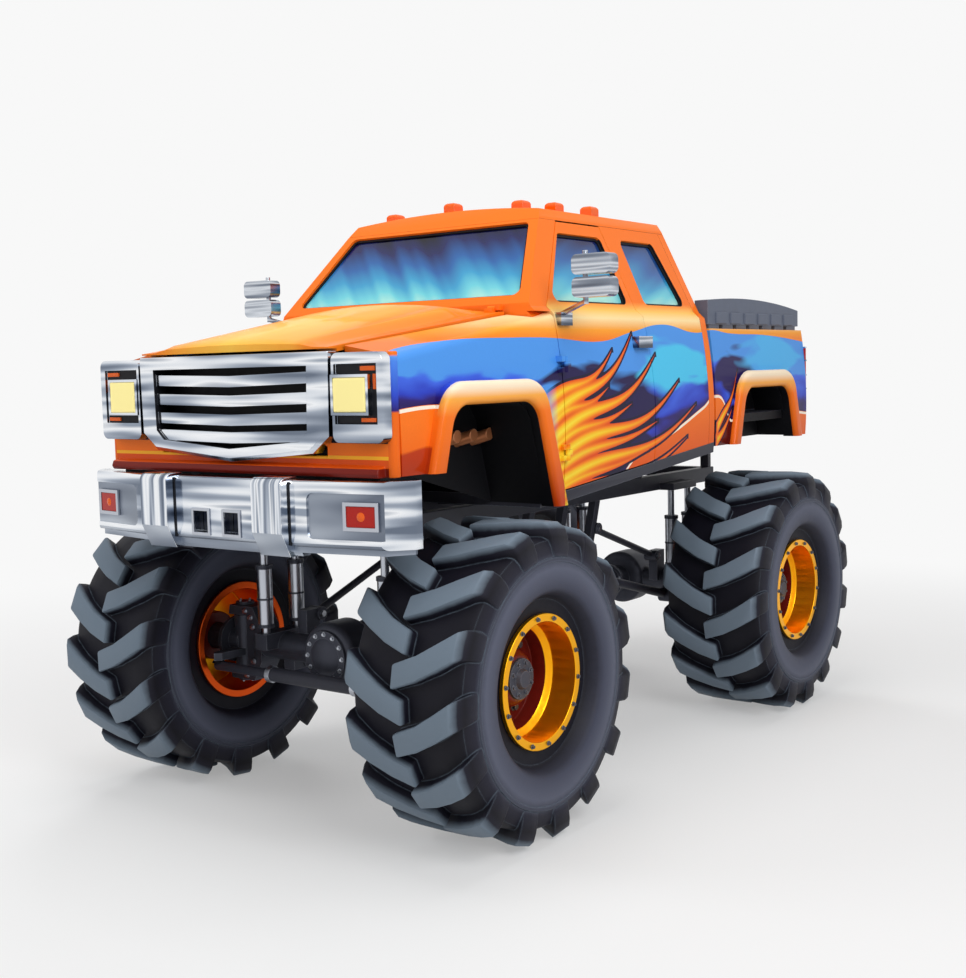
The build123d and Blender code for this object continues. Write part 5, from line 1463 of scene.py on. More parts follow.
@dataclass
class Seats:
    """The two bucket seats: simulated pads on plastic plinths.

    Attributes:
        pads: Name, outline in x and z, and half width of each pad, before it swells.
        channels: Sewn channels across a pad, from its middle.
        middle_y: How far the seats are from the truck's middle.
        voxel: Grid of the remeshed pads.
        swell: Furthest that a point of a pad may move.
        frames: Steps of the simulation.
        pressure: The stuffing's pressure.
        channel: Depth of the sewn channels, and half their width.
    """

    pads: tuple[tuple[str, tuple[tuple[float, float], ...], float], ...] = (
        (
            "cushion",
            ((0.045, 2.110), (0.052, 2.225), (0.010, 2.252), (-0.380, 2.212), (-0.400, 2.110)),
            0.214,
        ),
        ("back", ((-0.404, 2.262), (-0.532, 2.728), (-0.618, 2.728), (-0.556, 2.262)), 0.214),
        ("headrest", ((-0.548, 2.764), (-0.572, 2.905), (-0.634, 2.905), (-0.626, 2.764)), 0.125),
    )
    channels: tuple[float, ...] = (-0.115, 0.0, 0.115)
    middle_y: float = 0.42
    voxel: float = 0.014
    swell: float = 0.022
    frames: int = 20
    pressure: float = 4.0
    channel: tuple[float, float] = (0.010, 0.011)

    def blank(self, outline: Sequence[tuple[float, float]], half: float) -> Work:
        """Extrudes a pad's outline across the truck and rounds its edges.

        Args:
            outline: The outline in x and z.
            half: Half the pad's width.

        Returns:
            The blank, at the left seat.
        """
        form = bmesh.new()
        corners = [form.verts.new((x, self.middle_y - half, z)) for x, z in outline]
        face = form.faces.new(corners)
        grown = bmesh.ops.extrude_face_region(form, geom=[face])["geom"]
        verts = [item for item in grown if isinstance(item, Vert)]
        bmesh.ops.translate(form, verts=verts, vec=(0, 2 * half, 0))
        bmesh.ops.recalc_face_normals(form, faces=form.faces)
        bmesh.ops.bevel(
            form, geom=form.edges[:], offset=0.024, segments=3, profile=0.5, affect="EDGES", material=-1
        )
        return form

    def settle(self, made: bpy.types.Object) -> None:
        """Swells a pad by a cloth simulation and sews its channels.

        Args:
            made: The pad's object, whose mesh is replaced.
        """
        remesh = made.modifiers.new("voxels", "REMESH")
        remesh.mode, remesh.voxel_size = "VOXEL", self.voxel
        self.apply(made)
        start = [vert.co.copy() for vert in made.data.vertices]
        cloth = made.modifiers.new("stuffing", "CLOTH")
        cloth.settings.use_pressure = True
        cloth.settings.uniform_pressure_force = self.pressure
        cloth.settings.effector_weights.gravity = 0.0
        cloth.point_cache.frame_end = self.frames
        for frame in range(1, self.frames + 1):
            bpy.context.scene.frame_set(frame)
        self.apply(made)
        bpy.context.scene.frame_set(1)
        mesh = made.data
        for vert, rest in zip(mesh.vertices, start):
            move = vert.co - rest
            if move.length > self.swell:
                vert.co = rest + move.normalized() * self.swell
        mesh.update()
        normals = [vert.normal.copy() for vert in mesh.vertices]
        depth, half = self.channel
        for vert, normal in zip(mesh.vertices, normals):
            near = min(abs(vert.co.y - self.middle_y - at) for at in self.channels)
            vert.co -= normal * depth * math.exp(-((near / half) ** 2)) * (1 - abs(normal.y))

    @staticmethod
    def apply(made: bpy.types.Object) -> None:
        """Turns an object's modifiers into its mesh."""
        graph = bpy.context.evaluated_depsgraph_get()
        graph.update()
        mesh = bpy.data.meshes.new_from_object(made.evaluated_get(graph))
        made.modifiers.clear()
        made.data = mesh

    def pad(self, shop: Workshop, name: str, outline: Sequence[tuple[float, float]], half: float) -> None:
        """Makes one pad and its twin on the other seat.

        Args:
            shop: The workshop that makes the pieces.
            name: The pad's name.
            outline: Its outline in x and z.
            half: Half its width.
        """
        mesh = bpy.data.meshes.new(name)
        form = self.blank(outline, half)
        form.to_mesh(mesh)
        form.free()
        trial = bpy.data.objects.new(name, mesh)
        bpy.context.scene.collection.objects.link(trial)
        self.settle(trial)
        for side in Side:
            form = bmesh.new()
            form.from_mesh(trial.data)
            if side is Side.RIGHT:
                bmesh.ops.scale(form, verts=form.verts, vec=(1, -1, 1))
                bmesh.ops.reverse_faces(form, faces=form.faces)
            made = shop.piece(f"seat_{name}_{side.word}", form, "chassis", VINYL, sharp=180.0)
            smooth = made.modifiers.new("smooth", "SUBSURF")
            smooth.levels = smooth.render_levels = 1
        bpy.data.objects.remove(trial)

    def build(self, shop: Workshop) -> None:
        """Makes the plinths and the pads.

        Args:
            shop: The workshop that makes the pieces.
        """
        plinth = Form()
        low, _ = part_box("seats")
        y0, y1 = self.middle_y - 0.20, self.middle_y + 0.20
        plinth.block((-0.50, y0, low.z + 0.06), (0.00, y1, 2.100))
        plinth.block((-0.615, y0 + 0.05, 2.10), (-0.52, y1 - 0.05, 2.60), 0)
        for y in (self.middle_y - 0.06, self.middle_y + 0.06):
            plinth.drum((-0.585, y, 2.70), (-0.600, y, 2.80), 0.008, 1, 12)
        made = shop.fitting("seat_plinths", plinth.both_sides(), "chassis", PLASTIC, STEEL, edge_mm=6.0)
        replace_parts(made, "seats")
        for name, outline, half in self.pads:
            self.pad(shop, name, outline, half)


@dataclass
class Arches:
    """Liners in the wheel arches, which close the body behind the flares.

    Attributes:
        rows: Name, inner wall's y, and the ends of the front and rear legs.
        half_low: Half width at the foot height.
        half_high: Half width at the top.
        foot_z: The height that half_low is given at.
        top_z: The liner's top.
        outer_y: Where it meets the skin.
        wall: Its thickness.
    """

    rows: tuple[tuple[str, float, float, float], ...] = (
        ("front", 0.66, 1.960, 1.690),
        ("rear", 0.80, 1.900, 1.900),
    )
    half_low: float = 0.556
    half_high: float = 0.369
    foot_z: float = 1.600
    top_z: float = 2.281
    corner: float = 0.11
    outer_y: float = 1.040
    wall: float = 0.006

    def outline(self, x: float, fore_z: float, aft_z: float) -> list[tuple[float, float]]:
        """Works out an arch's outline from its front leg over the top to its rear leg.

        Args:
            x: The arch's middle.
            fore_z: Foot of the front leg.
            aft_z: Foot of the rear leg.

        Returns:
            Points in x and z.
        """
        def leg(z: float) -> float:
            share = (z - self.foot_z) / (self.top_z - self.foot_z)
            return self.half_low + (self.half_high - self.half_low) * share

        cut = self.corner
        return [
            (x + leg(fore_z), fore_z),
            (x + leg(self.top_z - cut), self.top_z - cut),
            (x + leg(self.top_z - 0.3 * cut) - 0.3 * cut, self.top_z - 0.3 * cut),
            (x + self.half_high - cut, self.top_z),
            (x - self.half_high + cut, self.top_z),
            (x - leg(self.top_z - 0.3 * cut) + 0.3 * cut, self.top_z - 0.3 * cut),
            (x - leg(self.top_z - cut), self.top_z - cut),
            (x - leg(aft_z), aft_z),
        ]

    def build(self, shop: Workshop) -> None:
        """Makes the four liners.

        Args:
            shop: The workshop that makes the pieces.
        """
        for name, inner_y, fore_z, aft_z in self.rows:
            form = Form()
            spots = self.outline(ARCHES_X[name], fore_z, aft_z)
            inner = form.work.faces.new([form.work.verts.new((px, inner_y, pz)) for px, pz in spots])
            foot = min(inner.edges, key=lambda edge: sum(vert.co.z for vert in edge.verts))
            edges = [edge for edge in inner.edges if edge is not foot]
            grown = bmesh.ops.extrude_edge_only(form.work, edges=edges)["geom"]
            for vert in (item for item in grown if isinstance(item, Vert)):
                vert.co.y = self.outer_y
            bmesh.ops.recalc_face_normals(form.work, faces=form.work.faces)
            bmesh.ops.solidify(form.work, geom=form.work.faces[:], thickness=self.wall)
            shop.fitting(f"arch_liners_{name}", form.both_sides(), "chassis", UNDERSEAL)


@dataclass
class RunningGear:
    """Bolted covers, joints and collars on the axles, links and shafts.

    Attributes:
        kingpin_y: How far the kingpins are from the middle.
        links: Ends of the links' bushings on the left, ahead.
    """

    kingpin_y: float = 0.780
    links: tuple[tuple[float, float, float, float], ...] = (
        (1.500, 0.420, 0.738, 0.050),
        (0.652, 0.262, 0.995, 0.050),
        (1.500, 0.300, 1.028, 0.040),
        (0.642, 0.320, 1.330, 0.040),
    )
    shock_y: float = 0.470
    shock_spread: float = 0.130

    def axle(self, form: Form, ahead: int) -> None:
        """Covers and caps one axle.

        Args:
            form: The work that gets them.
            ahead: The axle's sign along X.
        """
        middle = Vector((ahead * AXLE_X, 0.0, AXLE_Z))
        out = Vector((ahead, 0.0, 0.0))
        form.drum(middle + out * 0.108, middle + out * 0.136, 0.158, 0, 32, 0.150)
        form.drum(middle + out * 0.136, middle + out * 0.156, 0.110, 0, 32, 0.075)
        form.bolts(middle + out * 0.136, out, 0.132, 12, 0.020, 1)
        flange = middle - out * 0.262
        form.drum(flange, flange + out * 0.024, 0.118, 0, 28)
        form.bolts(flange, -out, 0.097, 6, 0.018, 1)
        for side in Side:
            for up in (1, -1):
                cap = middle + Vector((0.0, side.value * self.kingpin_y, up * 0.222))
                rise = Vector((0.0, 0.0, up))
                form.drum(cap, cap + rise * 0.020, 0.060, 0, 24, 0.054)
                form.bolts(cap + rise * 0.020, rise, 0.038, 4, 0.016, 1)
                for y, z in ((0.655, 0.160), (0.700, 0.196), (0.640, 0.105)):
                    form.bolt(middle + Vector((ahead * 0.078, side.value * y, up * z)), out, 0.026, 1)
            for spread in (-self.shock_spread, self.shock_spread):
                foot = middle + Vector((spread, side.value * self.shock_y, 0.094))
                for low, high, radius in ((0.036, 0.056, 0.051), (0.384, 0.408, 0.051), (0.20, 0.212, 0.049)):
                    form.drum(foot + Vector((0, 0, low)), foot + Vector((0, 0, high)), radius, 0, 24)
            for x, y, z, radius in self.links:
                for width, share, finish in ((0.050, 1.0, 0), (0.062, 0.45, 1)):
                    spot = Vector((ahead * x, side.value * y, z))
                    half = Vector((0.0, width, 0.0))
                    form.drum(spot - half, spot + half, radius * share, finish, 20)

    def shaft(self, form: Form, ahead: int) -> None:
        """Adds the universal joints of one drive shaft.

        Args:
            form: The work that gets them.
            ahead: The shaft's sign along X.
        """
        near, far = Vector((ahead * 0.34, 0.0, 1.230)), Vector((ahead * 1.36, 0.0, AXLE_Z))
        along = (far - near).normalized()
        level = Vector((0.0, 1.0, 0.0))
        for end, way in ((near, along), (far, -along)):
            spot = end + way * 0.085
            for pin in (level, level.cross(along)):
                form.drum(spot - pin * 0.078, spot + pin * 0.078, 0.022, 1, 16)
            form.drum(spot - way * 0.040, spot + way * 0.040, 0.058, 0, 24)
            form.drum(spot + way * 0.085, spot + way * 0.125, 0.056, 0, 24, 0.048)

    def build(self, shop: Workshop) -> None:
        """Makes the fittings of the chassis and the tie rods.

        Args:
            shop: The workshop that makes the pieces.
        """
        form = Form()
        for axle in Axle:
            self.axle(form, axle.value)
            self.shaft(form, axle.value)
            rod = Form()
            x = axle.value * (AXLE_X + 0.235)
            for y in (-self.kingpin_y, self.kingpin_y):
                rod.drum((x, y, 0.742), (x, y, 0.756), 0.040, 1, 20, 0.030)
                clamp = y * 11 / 26
                rod.drum((x, clamp - 0.018, 0.722), (x, clamp + 0.018, 0.722), 0.049, 0, 24)
            body = shop.body_of[f"tie_rod_{axle.word}"]
            shop.fitting(f"tie_rod_clamps_{axle.word}", rod, body, STEEL, GASKET)
        for x in (-0.030, 0.030):
            form.bolts((x, 0.0, 1.230), (x, 0.0, 0.0), 0.181, 14, 0.016, 1)
        shop.fitting("running_gear_fittings", form, "chassis", IRON, STEEL)


@dataclass
class Engine:
    """What shows of the engine under the open hood: covers, manifold, air cleaner and pulleys.

    Attributes:
        span_x: The block's rear and front.
        top_z: Its top.
        pulleys: Place across, height and radius of each pulley.
    """

    span_x: tuple[float, float] = (1.160, 1.900)
    top_z: float = 2.200
    pulleys: tuple[tuple[float, float, float], ...] = (
        (0.0, 1.880, 0.095), (0.0, 2.070, 0.080), (0.185, 2.090, 0.055), (-0.185, 2.090, 0.062),
    )

    def build(self, shop: Workshop) -> None:
        """Makes the engine's fittings.

        Args:
            shop: The workshop that makes the pieces.
        """
        covers = Form()
        rear, front = self.span_x
        covers.block((rear + 0.06, 0.150, self.top_z - 0.040), (front - 0.06, 0.265, self.top_z + 0.045))
        for k in range(4):
            spot = (rear + 0.11 + 0.173 * k, 0.208, self.top_z + 0.045)
            covers.bolt(spot, (0.0, 0.0, 1.0), 0.020, 1)
        shop.fitting("rocker_covers", covers.both_sides(), "chassis", GOLD, STEEL, edge_mm=10.0)

        form = Form()
        x, z = sum(self.span_x) / 2, self.top_z
        form.block((x - 0.24, -0.11, z - 0.005), (x + 0.24, 0.11, z + 0.070), 1)
        form.drum((x, 0.0, z + 0.070), (x, 0.0, z + 0.115), 0.070, 1, 28)
        form.drum((x, 0.0, z + 0.115), (x, 0.0, z + 0.185), 0.195, 0, 48)
        form.drum((x, 0.0, z + 0.185), (x, 0.0, z + 0.200), 0.185, 0, 48, 0.150)
        form.bolt((x, 0.0, z + 0.200), (0.0, 0.0, 1.0), 0.030, 2)
        for y, height, radius in self.pulleys:
            for start, end, share in ((0.0, 0.012, 1.0), (0.012, 0.024, 0.82), (0.024, 0.036, 1.0)):
                form.drum((front + start, y, height), (front + end, y, height), radius * share, 2, 32)
            form.bolt((front + 0.036, y, height), (1.0, 0.0, 0.0), 0.026, 1)
        shop.fitting("engine_fittings", form, "chassis", DULL_CHROME, IRON, STEEL, edge_mm=3.0)


@dataclass
class Bed:
    """Ribs on the bed's floor, and the hardware of the rails, the tailgate and the tail lamps."""

    ribs: int = 11
    rib: tuple[float, float, float] = (0.055, 2.090, 2.102)  # width, low, high
    span_x: tuple[float, float] = (-2.480, -1.105)
    half: float = 0.78
    tabs: int = 6
    tab_x: tuple[float, float] = (-2.360, -1.240)

    def build(self, shop: Workshop) -> None:
        """Makes the ribs, the latch and the lamp bars.

        Args:
            shop: The workshop that makes the pieces.
        """
        floor = Form()
        width, low, high = self.rib
        for k in range(self.ribs):
            y = self.half * (2 * k / (self.ribs - 1) - 1)
            floor.block((self.span_x[0], y - width / 2, low), (self.span_x[1], y + width / 2, high))
        shop.fitting("bed_floor_ribs", floor, "chassis", CHASSIS, edge_mm=3.0)

        gate = Form()
        face = Matrix(((0, -1, 0), (0, 0, 1), (-1, 0, 0))).transposed().to_4x4()
        gate.rim(Matrix.Translation((-2.568, 0.0, 2.620)) @ face, 0.30, 0.085, 0.014, 0.008)
        gate.block((-2.580, -0.115, 2.598), (-2.566, 0.115, 2.628), 1)
        shop.fitting("tailgate_latch", gate, shop.body_of["tailgate"], DULL_CHROME, PLASTIC, edge_mm=3.0)

        tabs = Form()
        for k in range(self.tabs):
            x = self.tab_x[0] + (self.tab_x[1] - self.tab_x[0]) * k / (self.tabs - 1)
            tabs.block((x - 0.085, 1.000, 2.724), (x + 0.085, 1.026, 2.806))
        shop.fitting("bed_rail_tabs", tabs.both_sides(), "chassis", RAIL_CAP, edge_mm=10.0)

        lamps = Form()
        for z in (2.236, 2.340, 2.452, 2.552):
            lamps.block((-2.594, 1.026, z), (-2.570, 1.070, z + 0.012))
        shop.fitting("tail_lamp_bars", lamps.both_sides(), "chassis", DULL_CHROME)


@dataclass
class Cockpit:
    """The gauges, the binnacle and the radio on the dashboard."""

    gauges: tuple[tuple[float, float], ...] = ((0.35, 0.036), (0.43, 0.042), (0.51, 0.036))

    def build(self, shop: Workshop) -> None:
        """Makes the dashboard's fittings.

        Args:
            shop: The workshop that makes the pieces.
        """
        form = Form()
        form.block((0.715, 0.275, 2.742), (0.860, 0.585, 2.800))
        for y, radius in self.gauges:
            form.drum((0.742, y, 2.672), (0.722, y, 2.675), radius, 1, 28)
            form.drum((0.724, y, 2.675), (0.718, y, 2.676), radius * 0.84, 2, 28)
        form.block((0.722, -0.13, 2.630), (0.745, 0.13, 2.700), 2)
        for y in (-0.10, 0.10):
            form.drum((0.725, y, 2.665), (0.700, y, 2.668), 0.018, 1, 20)
        shop.fitting("dashboard_fittings", form, "chassis", PLASTIC, STEEL, SMOKED, edge_mm=3.0)


@dataclass
class Wheel:
    """One wheel: a spun, lugged tyre on a bolted deep-dish rim.

    Attributes:
        axle: The axle that it is on.
        side: The side that it is on.
        lugs: Lugs in each of the two rows.
        steps: Flats round the spun rings.
    """

    axle: Axle
    side: Side
    lugs: int = 15
    steps: int = 90

    # Outer half of the carcass, from the bead to the tread: radius, half width
    profile: tuple[tuple[float, float], ...] = (
        (0.345, 0.272),
        (0.430, 0.276),
        (0.448, 0.290),
        (0.466, 0.340),
        (0.490, 0.360),
        (0.545, 0.371),
        (0.605, 0.370),
        (0.625, 0.366),
        (0.629, 0.371),
        (0.648, 0.370),
        (0.653, 0.362),
        (0.700, 0.353),
        (0.738, 0.338),
        (0.754, 0.310),
        (0.762, 0.200),
    )
    # Lug sections: face's half-width share and radius, foot's share and radius, place along, bar width
    stations: tuple[tuple[float, ...], ...] = (
        (-0.085, 0.838, -0.085, 0.735, 0.108, 0.124),
        (0.280, 0.838, 0.280, 0.735, 0.056, 0.132),
        (0.600, 0.838, 0.600, 0.735, -0.012, 0.142),
        (0.860, 0.834, 0.800, 0.725, -0.074, 0.150),
        (0.945, 0.808, 0.850, 0.715, -0.092, 0.152),
        (0.985, 0.760, 0.880, 0.700, -0.098, 0.150),
        (0.998, 0.700, 0.900, 0.680, -0.096, 0.142),
        (1.000, 0.655, 0.930, 0.645, -0.092, 0.128),
    )
    lug_edge_mm: float = 12.0
    disc_radius: float = 0.285
    # Rows of bolts: place along the axle, radius, count, width of the heads
    bolt_rings: tuple[tuple[float, float, int, float], ...] = (
        (0.300, 0.334, 14, 0.020),
        (0.040, 0.205, 10, 0.036),
        (0.166, 0.086, 8, 0.020),
    )
    # Hub cover: from and to along the axle, radius from and to
    hub: tuple[tuple[float, float, float, float], ...] = (
        (0.148, 0.166, 0.110, 0.108),
        (0.166, 0.190, 0.058, 0.044),
    )

    @property
    def name(self) -> str:
        """The wheel's place as the frame spells it."""
        return f"{self.axle.word}_{self.side.word}"

    def carcass(self, form: Work) -> None:
        """Spins the carcass about the Y axis at the origin.

        Args:
            form: The bmesh that gets it.
        """
        half = [Vector((0.0, wide, radius)) for radius, wide in self.profile]
        ring = half + [Vector((0.0, -p.y, p.z)) for p in reversed(half)]
        verts = [form.verts.new(place) for place in ring]
        edges = [form.edges.new((verts[i - 1], verts[i])) for i in range(len(verts))]
        bmesh.ops.spin(
            form,
            geom=verts + edges,
            cent=(0, 0, 0),
            axis=(0, 1, 0),
            angle=math.tau,
            steps=self.steps,
            use_merge=True,
        )

    def section(self, station: Sequence[float], half: float, grow: float) -> list[Vector]:
        """Works out the corners of one section of a lug at the wheel's top.

        Args:
            station: The section's row of the table.
            half: The tyre's half width.
            grow: What the radii are multiplied by to meet the frame's tyre.

        Returns:
            The face's two corners and the foot's two.
        """
        face_share, face_radius, foot_share, foot_radius, along, bar = station
        corners = []
        ends = ((face_share, face_radius, (0.5, -0.5)), (foot_share, foot_radius, (-0.56, 0.56)))
        for share, radius, sides in ends:
            for part in sides:
                turn = (along + part * bar) / face_radius
                reach = radius * grow
                corners.append(Vector((reach * math.sin(turn), share * half, reach * math.cos(turn))))
        return corners

    def lug(self, form: Work, half: float, grow: float) -> list[Vert]:
        """Extrudes one lug through its sections and bevels it.

        Args:
            form: The bmesh that gets it.
            half: The tyre's half width.
            grow: What the radii are multiplied by.

        Returns:
            The lug's corners.
        """
        kept = set(form.verts)
        first, *rest = [self.section(row, half, grow) for row in self.stations]
        face = form.faces.new([form.verts.new(place) for place in first])
        for step, corners in enumerate(rest):
            grown = bmesh.ops.extrude_face_region(form, geom=[face])["geom"]
            if step:  # the extrusion keeps the face it starts from, which now stands inside the lug
                bmesh.ops.delete(form, geom=[face], context="FACES_ONLY")
            face = next(item for item in grown if isinstance(item, Face))
            for vert, place in zip(face.verts, corners):
                vert.co = place
        verts = [vert for vert in form.verts if vert not in kept]
        faces = list({item for vert in verts for item in vert.link_faces})
        bmesh.ops.recalc_face_normals(form, faces=faces)
        edges = list({edge for vert in verts for edge in vert.link_edges})
        worked = [edge for edge in edges if edge.calc_face_angle(0.0) > math.radians(50)]
        bmesh.ops.bevel(
            form,
            geom=worked,
            offset=self.lug_edge_mm * MM,
            segments=2,
            profile=0.5,
            affect="EDGES",
            material=-1,
        )
        return [vert for vert in form.verts if vert not in kept]

    def tread(self, half: float, grow: float) -> Work:
        """Makes both rows of lugs about the Y axis at the origin.

        Args:
            half: The tyre's half width.
            grow: What the radii are multiplied by.

        Returns:
            The lugs.
        """
        form = bmesh.new()
        first = self.lug(form, half, grow)
        pitch = math.tau / self.lugs
        rows = [first]
        for mirrored in (False, True):
            if mirrored:
                faces = list({face for vert in first for face in vert.link_faces})
                copied = bmesh.ops.duplicate(form, geom=faces)["geom"]
                row = [item for item in copied if isinstance(item, Vert)]
                bmesh.ops.scale(form, verts=row, vec=(1, -1, 1))
                turned = list({face for vert in row for face in vert.link_faces})
                bmesh.ops.reverse_faces(form, faces=turned)
                bmesh.ops.rotate(form, verts=row, cent=(0, 0, 0), matrix=Matrix.Rotation(pitch / 2, 3, "Y"))
                rows.append(row)
        for row in rows:
            faces = list({face for vert in row for face in vert.link_faces})
            for step in range(1, self.lugs):
                copied = bmesh.ops.duplicate(form, geom=faces)["geom"]
                verts = [item for item in copied if isinstance(item, Vert)]
                turn = Matrix.Rotation(step * pitch, 3, "Y")
                bmesh.ops.rotate(form, verts=verts, cent=(0, 0, 0), matrix=turn)
        return form

    def build(self, shop: Workshop) -> None:
        """Makes the tyre and dresses the rim.

        Args:
            shop: The workshop that makes the pieces.
        """
        node = f"tyre_{self.name}"
        low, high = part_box(node)
        centre, half = (low + high) / 2, (high.y - low.y) / 2
        grow = (high.z - low.z) / 2 / max(row[1] for row in self.stations)
        form = self.tread(half, grow)
        self.carcass(form)
        bmesh.ops.recalc_face_normals(form, faces=form.faces)
        if self.side is Side.RIGHT:
            bmesh.ops.scale(form, verts=form.verts, vec=(1, -1, 1))
            bmesh.ops.reverse_faces(form, faces=form.faces)
        bmesh.ops.translate(form, verts=form.verts, vec=centre)
        tyre = shop.piece(f"lugged_{node}", form, shop.body_of[node], RUBBER, sharp=34.0)
        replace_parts(tyre, node)
        self.rim(shop, centre)

    def rim(self, shop: Workshop, centre: Vector) -> None:
        """Finishes the rim and bolts its ring, disc and hub.

        Args:
            shop: The workshop that makes the pieces.
            centre: The wheel's middle.
        """
        out = self.side.value

        def zone(face: Face) -> int:
            arms = [vert.co - centre for vert in face.verts]
            reach = out * sum(arm.y for arm in arms) / len(arms)
            # The disc's and hub's faces, deep in the dish, take the dark red painted shade
            if max(math.hypot(arm.x, arm.z) for arm in arms) < self.disc_radius and reach > -0.08:
                return 1
            return 2 if reach < 0.0 else 0

        node = f"rim_{self.name}"
        shop.zoned(node, (GOLD, OXIDE_RED_PAINTED_SHADE, COPPER), 5.0, zone)
        form = Form()
        for reach, radius, count, across in self.bolt_rings:
            form.bolts(centre + Vector((0, out * reach, 0)), (0, out, 0), radius, count, across)
        for start, end, radius, end_radius in self.hub:
            ends = [centre + Vector((0, out * reach, 0)) for reach in (start, end)]
            form.drum(*ends, radius, 0, 32, end_radius)
        shop.fitting(f"wheel_bolts_{self.name}", form, shop.body_of[node], IRON)


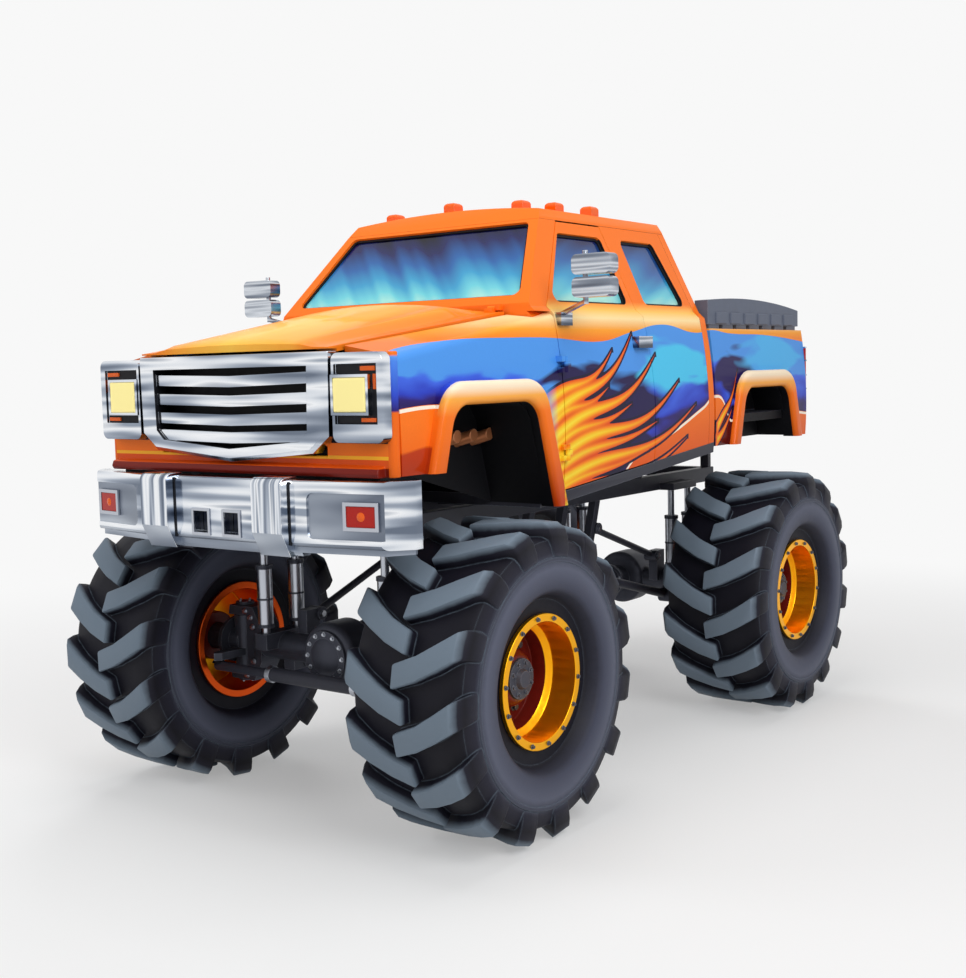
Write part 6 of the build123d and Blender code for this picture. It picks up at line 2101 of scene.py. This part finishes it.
@dataclass
class Studio:
    """The camera, the lights, the floor and the backdrop.

    Attributes:
        eye: The camera's place.
        yaw: Its heading about Z, in radians from +X.
        pitch: Its tilt above the horizon.
        roll: Its turn about its own axis.
        focal_px: Its focal length in pixels of the picture's long side.
        long_px: That side.
        backdrop: The background's colour.
        lamps: Name, place, edge and power of each soft box, and whether polished surfaces show it.
    """

    eye: tuple[float, float, float] = (7.230, 5.215, 2.457)
    yaw: float = -2.503
    pitch: float = -0.09
    roll: float = -0.025
    focal_px: float = 1334.0
    long_px: float = 978.0
    backdrop: str = "#F8F8F8"
    lamps: tuple[tuple[str, Point, float, float, bool], ...] = (
        ("key_lamp", (4.5, 8.5, 7.5), 6.0, 560.0, True),
        ("fill_lamp", (8.0, -7.5, 6.0), 5.0, 260.0, False),
        ("back_lamp", (-6.0, -7.5, 7.0), 4.0, 320.0, False),
        ("top_lamp", (1.0, 0.0, 10.0), 5.0, 320.0, False),
    )

    def camera(self) -> None:
        """Places the camera at the picture's angle."""
        data = bpy.data.cameras.new("camera")
        data.sensor_width = 36.0
        data.lens = data.sensor_width * self.focal_px / self.long_px
        flat = math.cos(self.pitch)
        ahead = Vector((math.cos(self.yaw) * flat, math.sin(self.yaw) * flat, math.sin(self.pitch)))
        right = ahead.cross(Vector((0, 0, 1))).normalized()
        up = right.cross(ahead)
        across = right * math.cos(self.roll) + up * math.sin(self.roll)
        over = up * math.cos(self.roll) - right * math.sin(self.roll)
        turn = Matrix((across, over, -ahead)).transposed().to_4x4()
        made = bpy.data.objects.new("camera", data)
        made.matrix_world = Matrix.Translation(self.eye) @ turn
        bpy.context.scene.collection.objects.link(made)
        bpy.context.scene.camera = made

    def lamp(self, name: str, place: Point, size: float, watts: float, mirrored: bool) -> None:
        """Hangs a soft box that looks at the truck's middle.

        Args:
            name: The lamp's name.
            place: Where it hangs.
            size: Its edge.
            watts: Its power.
            mirrored: Whether it shows in polished surfaces.
        """
        data = bpy.data.lights.new(name, "AREA")
        data.size, data.energy = size, watts
        made = bpy.data.objects.new(name, data)
        made.location = place
        made.visible_glossy = mirrored
        made.rotation_euler = (Vector((0, 0, 1.6)) - Vector(place)).to_track_quat("-Z", "Y").to_euler()
        bpy.context.scene.collection.objects.link(made)

    @staticmethod
    def seen(tree: Tree) -> Socket:
        """Tells the rays that show a surface, straight or by metal or glass, from those that light it."""
        rays = add(tree, "LightPath").outputs
        shown = rays["Is Camera Ray"]
        for name in ("Is Glossy Ray", "Is Transmission Ray"):
            shown = add(tree, "Math", {0: shown, 1: rays[name]}, operation="MAXIMUM").outputs[0]
        return shown

    def world(self) -> None:
        """Lights the surroundings softly, and shows them as a pale backdrop."""
        world = bpy.data.worlds.new("studio")
        world.use_nodes = True
        tree = world.node_tree
        tree.nodes.clear()
        soft = add(tree, "Background", {"Color": linear("#FFFFFF"), "Strength": 0.36})
        shown = add(tree, "Background", {"Color": linear(self.backdrop), "Strength": 1.0})
        both = add(tree, "MixShader", {0: self.seen(tree), 1: soft.outputs[0], 2: shown.outputs[0]})
        add(tree, "OutputWorld", {"Surface": both.outputs[0]})
        bpy.context.scene.world = world

    def floor(self) -> None:
        """Lays a pale floor that fades into the backdrop."""
        form = bmesh.new()
        bmesh.ops.create_circle(form, cap_ends=True, segments=64, radius=30.0)
        mesh = bpy.data.meshes.new("floor")
        form.to_mesh(mesh)
        form.free()
        material = bpy.data.materials.new("pale_studio_floor")
        material.use_nodes = True
        tree = material.node_tree
        shader = tree.nodes["Principled BSDF"]
        shader.inputs["Base Color"].default_value = linear("#EFEFEF")
        shader.inputs["Roughness"].default_value = 0.9
        away = add(tree, "VectorMath", {0: add(tree, "TexCoord").outputs["Object"]}, operation="LENGTH")
        reach = {"Value": away.outputs["Value"], 1: 3.5, 2: 9.0}
        fade = add(tree, "MapRange", reach, interpolation_type="SMOOTHSTEP")
        ray = self.seen(tree)
        lifted = add(tree, "MapRange", {"Value": fade.outputs["Result"], "To Min": 0.35, "To Max": 1.0})
        shown = add(tree, "Math", {0: lifted.outputs["Result"], 1: ray}, operation="MULTIPLY").outputs[0]
        glow = add(tree, "Emission", {"Color": linear(self.backdrop), "Strength": 1.0})
        both = add(tree, "MixShader", {0: shown, 1: shader.outputs[0], 2: glow.outputs[0]})
        tree.links.new(both.outputs[0], tree.nodes["Material Output"].inputs["Surface"])
        mesh.materials.append(material)
        made = bpy.data.objects.new("floor", mesh)
        bpy.context.scene.collection.objects.link(made)
        made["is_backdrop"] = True

    def build(self) -> None:
        """Sets the whole studio up."""
        bpy.context.scene.view_settings.view_transform = "Standard"
        self.camera()
        for row in self.lamps:
            self.lamp(*row)
        self.world()
        self.floor()


def corners(box: Iterable[Vector]) -> list[list[float]]:
    """Returns a box's two corners as plain lists."""
    return [list(corner) for corner in box]


def main() -> None:
    """Builds the truck's pieces in order, and works out the bounds of the solids and of the finished truck.
    """
    logging.basicConfig(level=logging.INFO, format="%(message)s")
    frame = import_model()
    solid_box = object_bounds()
    shop = Workshop(frame)
    Studio().build()
    Shell().build(shop)
    Glazing().build(shop)
    Nose().build(shop)
    Seats().build(shop)
    for group in (Arches(), RunningGear(), Engine(), Bed(), Cockpit()):
        group.build(shop)
    for axle in Axle:
        for side in Side:
            Wheel(axle, side).build(shop)
    {"cad": corners(solid_box), "visual": corners(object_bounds())}


if __name__ == "__main__":
    main()
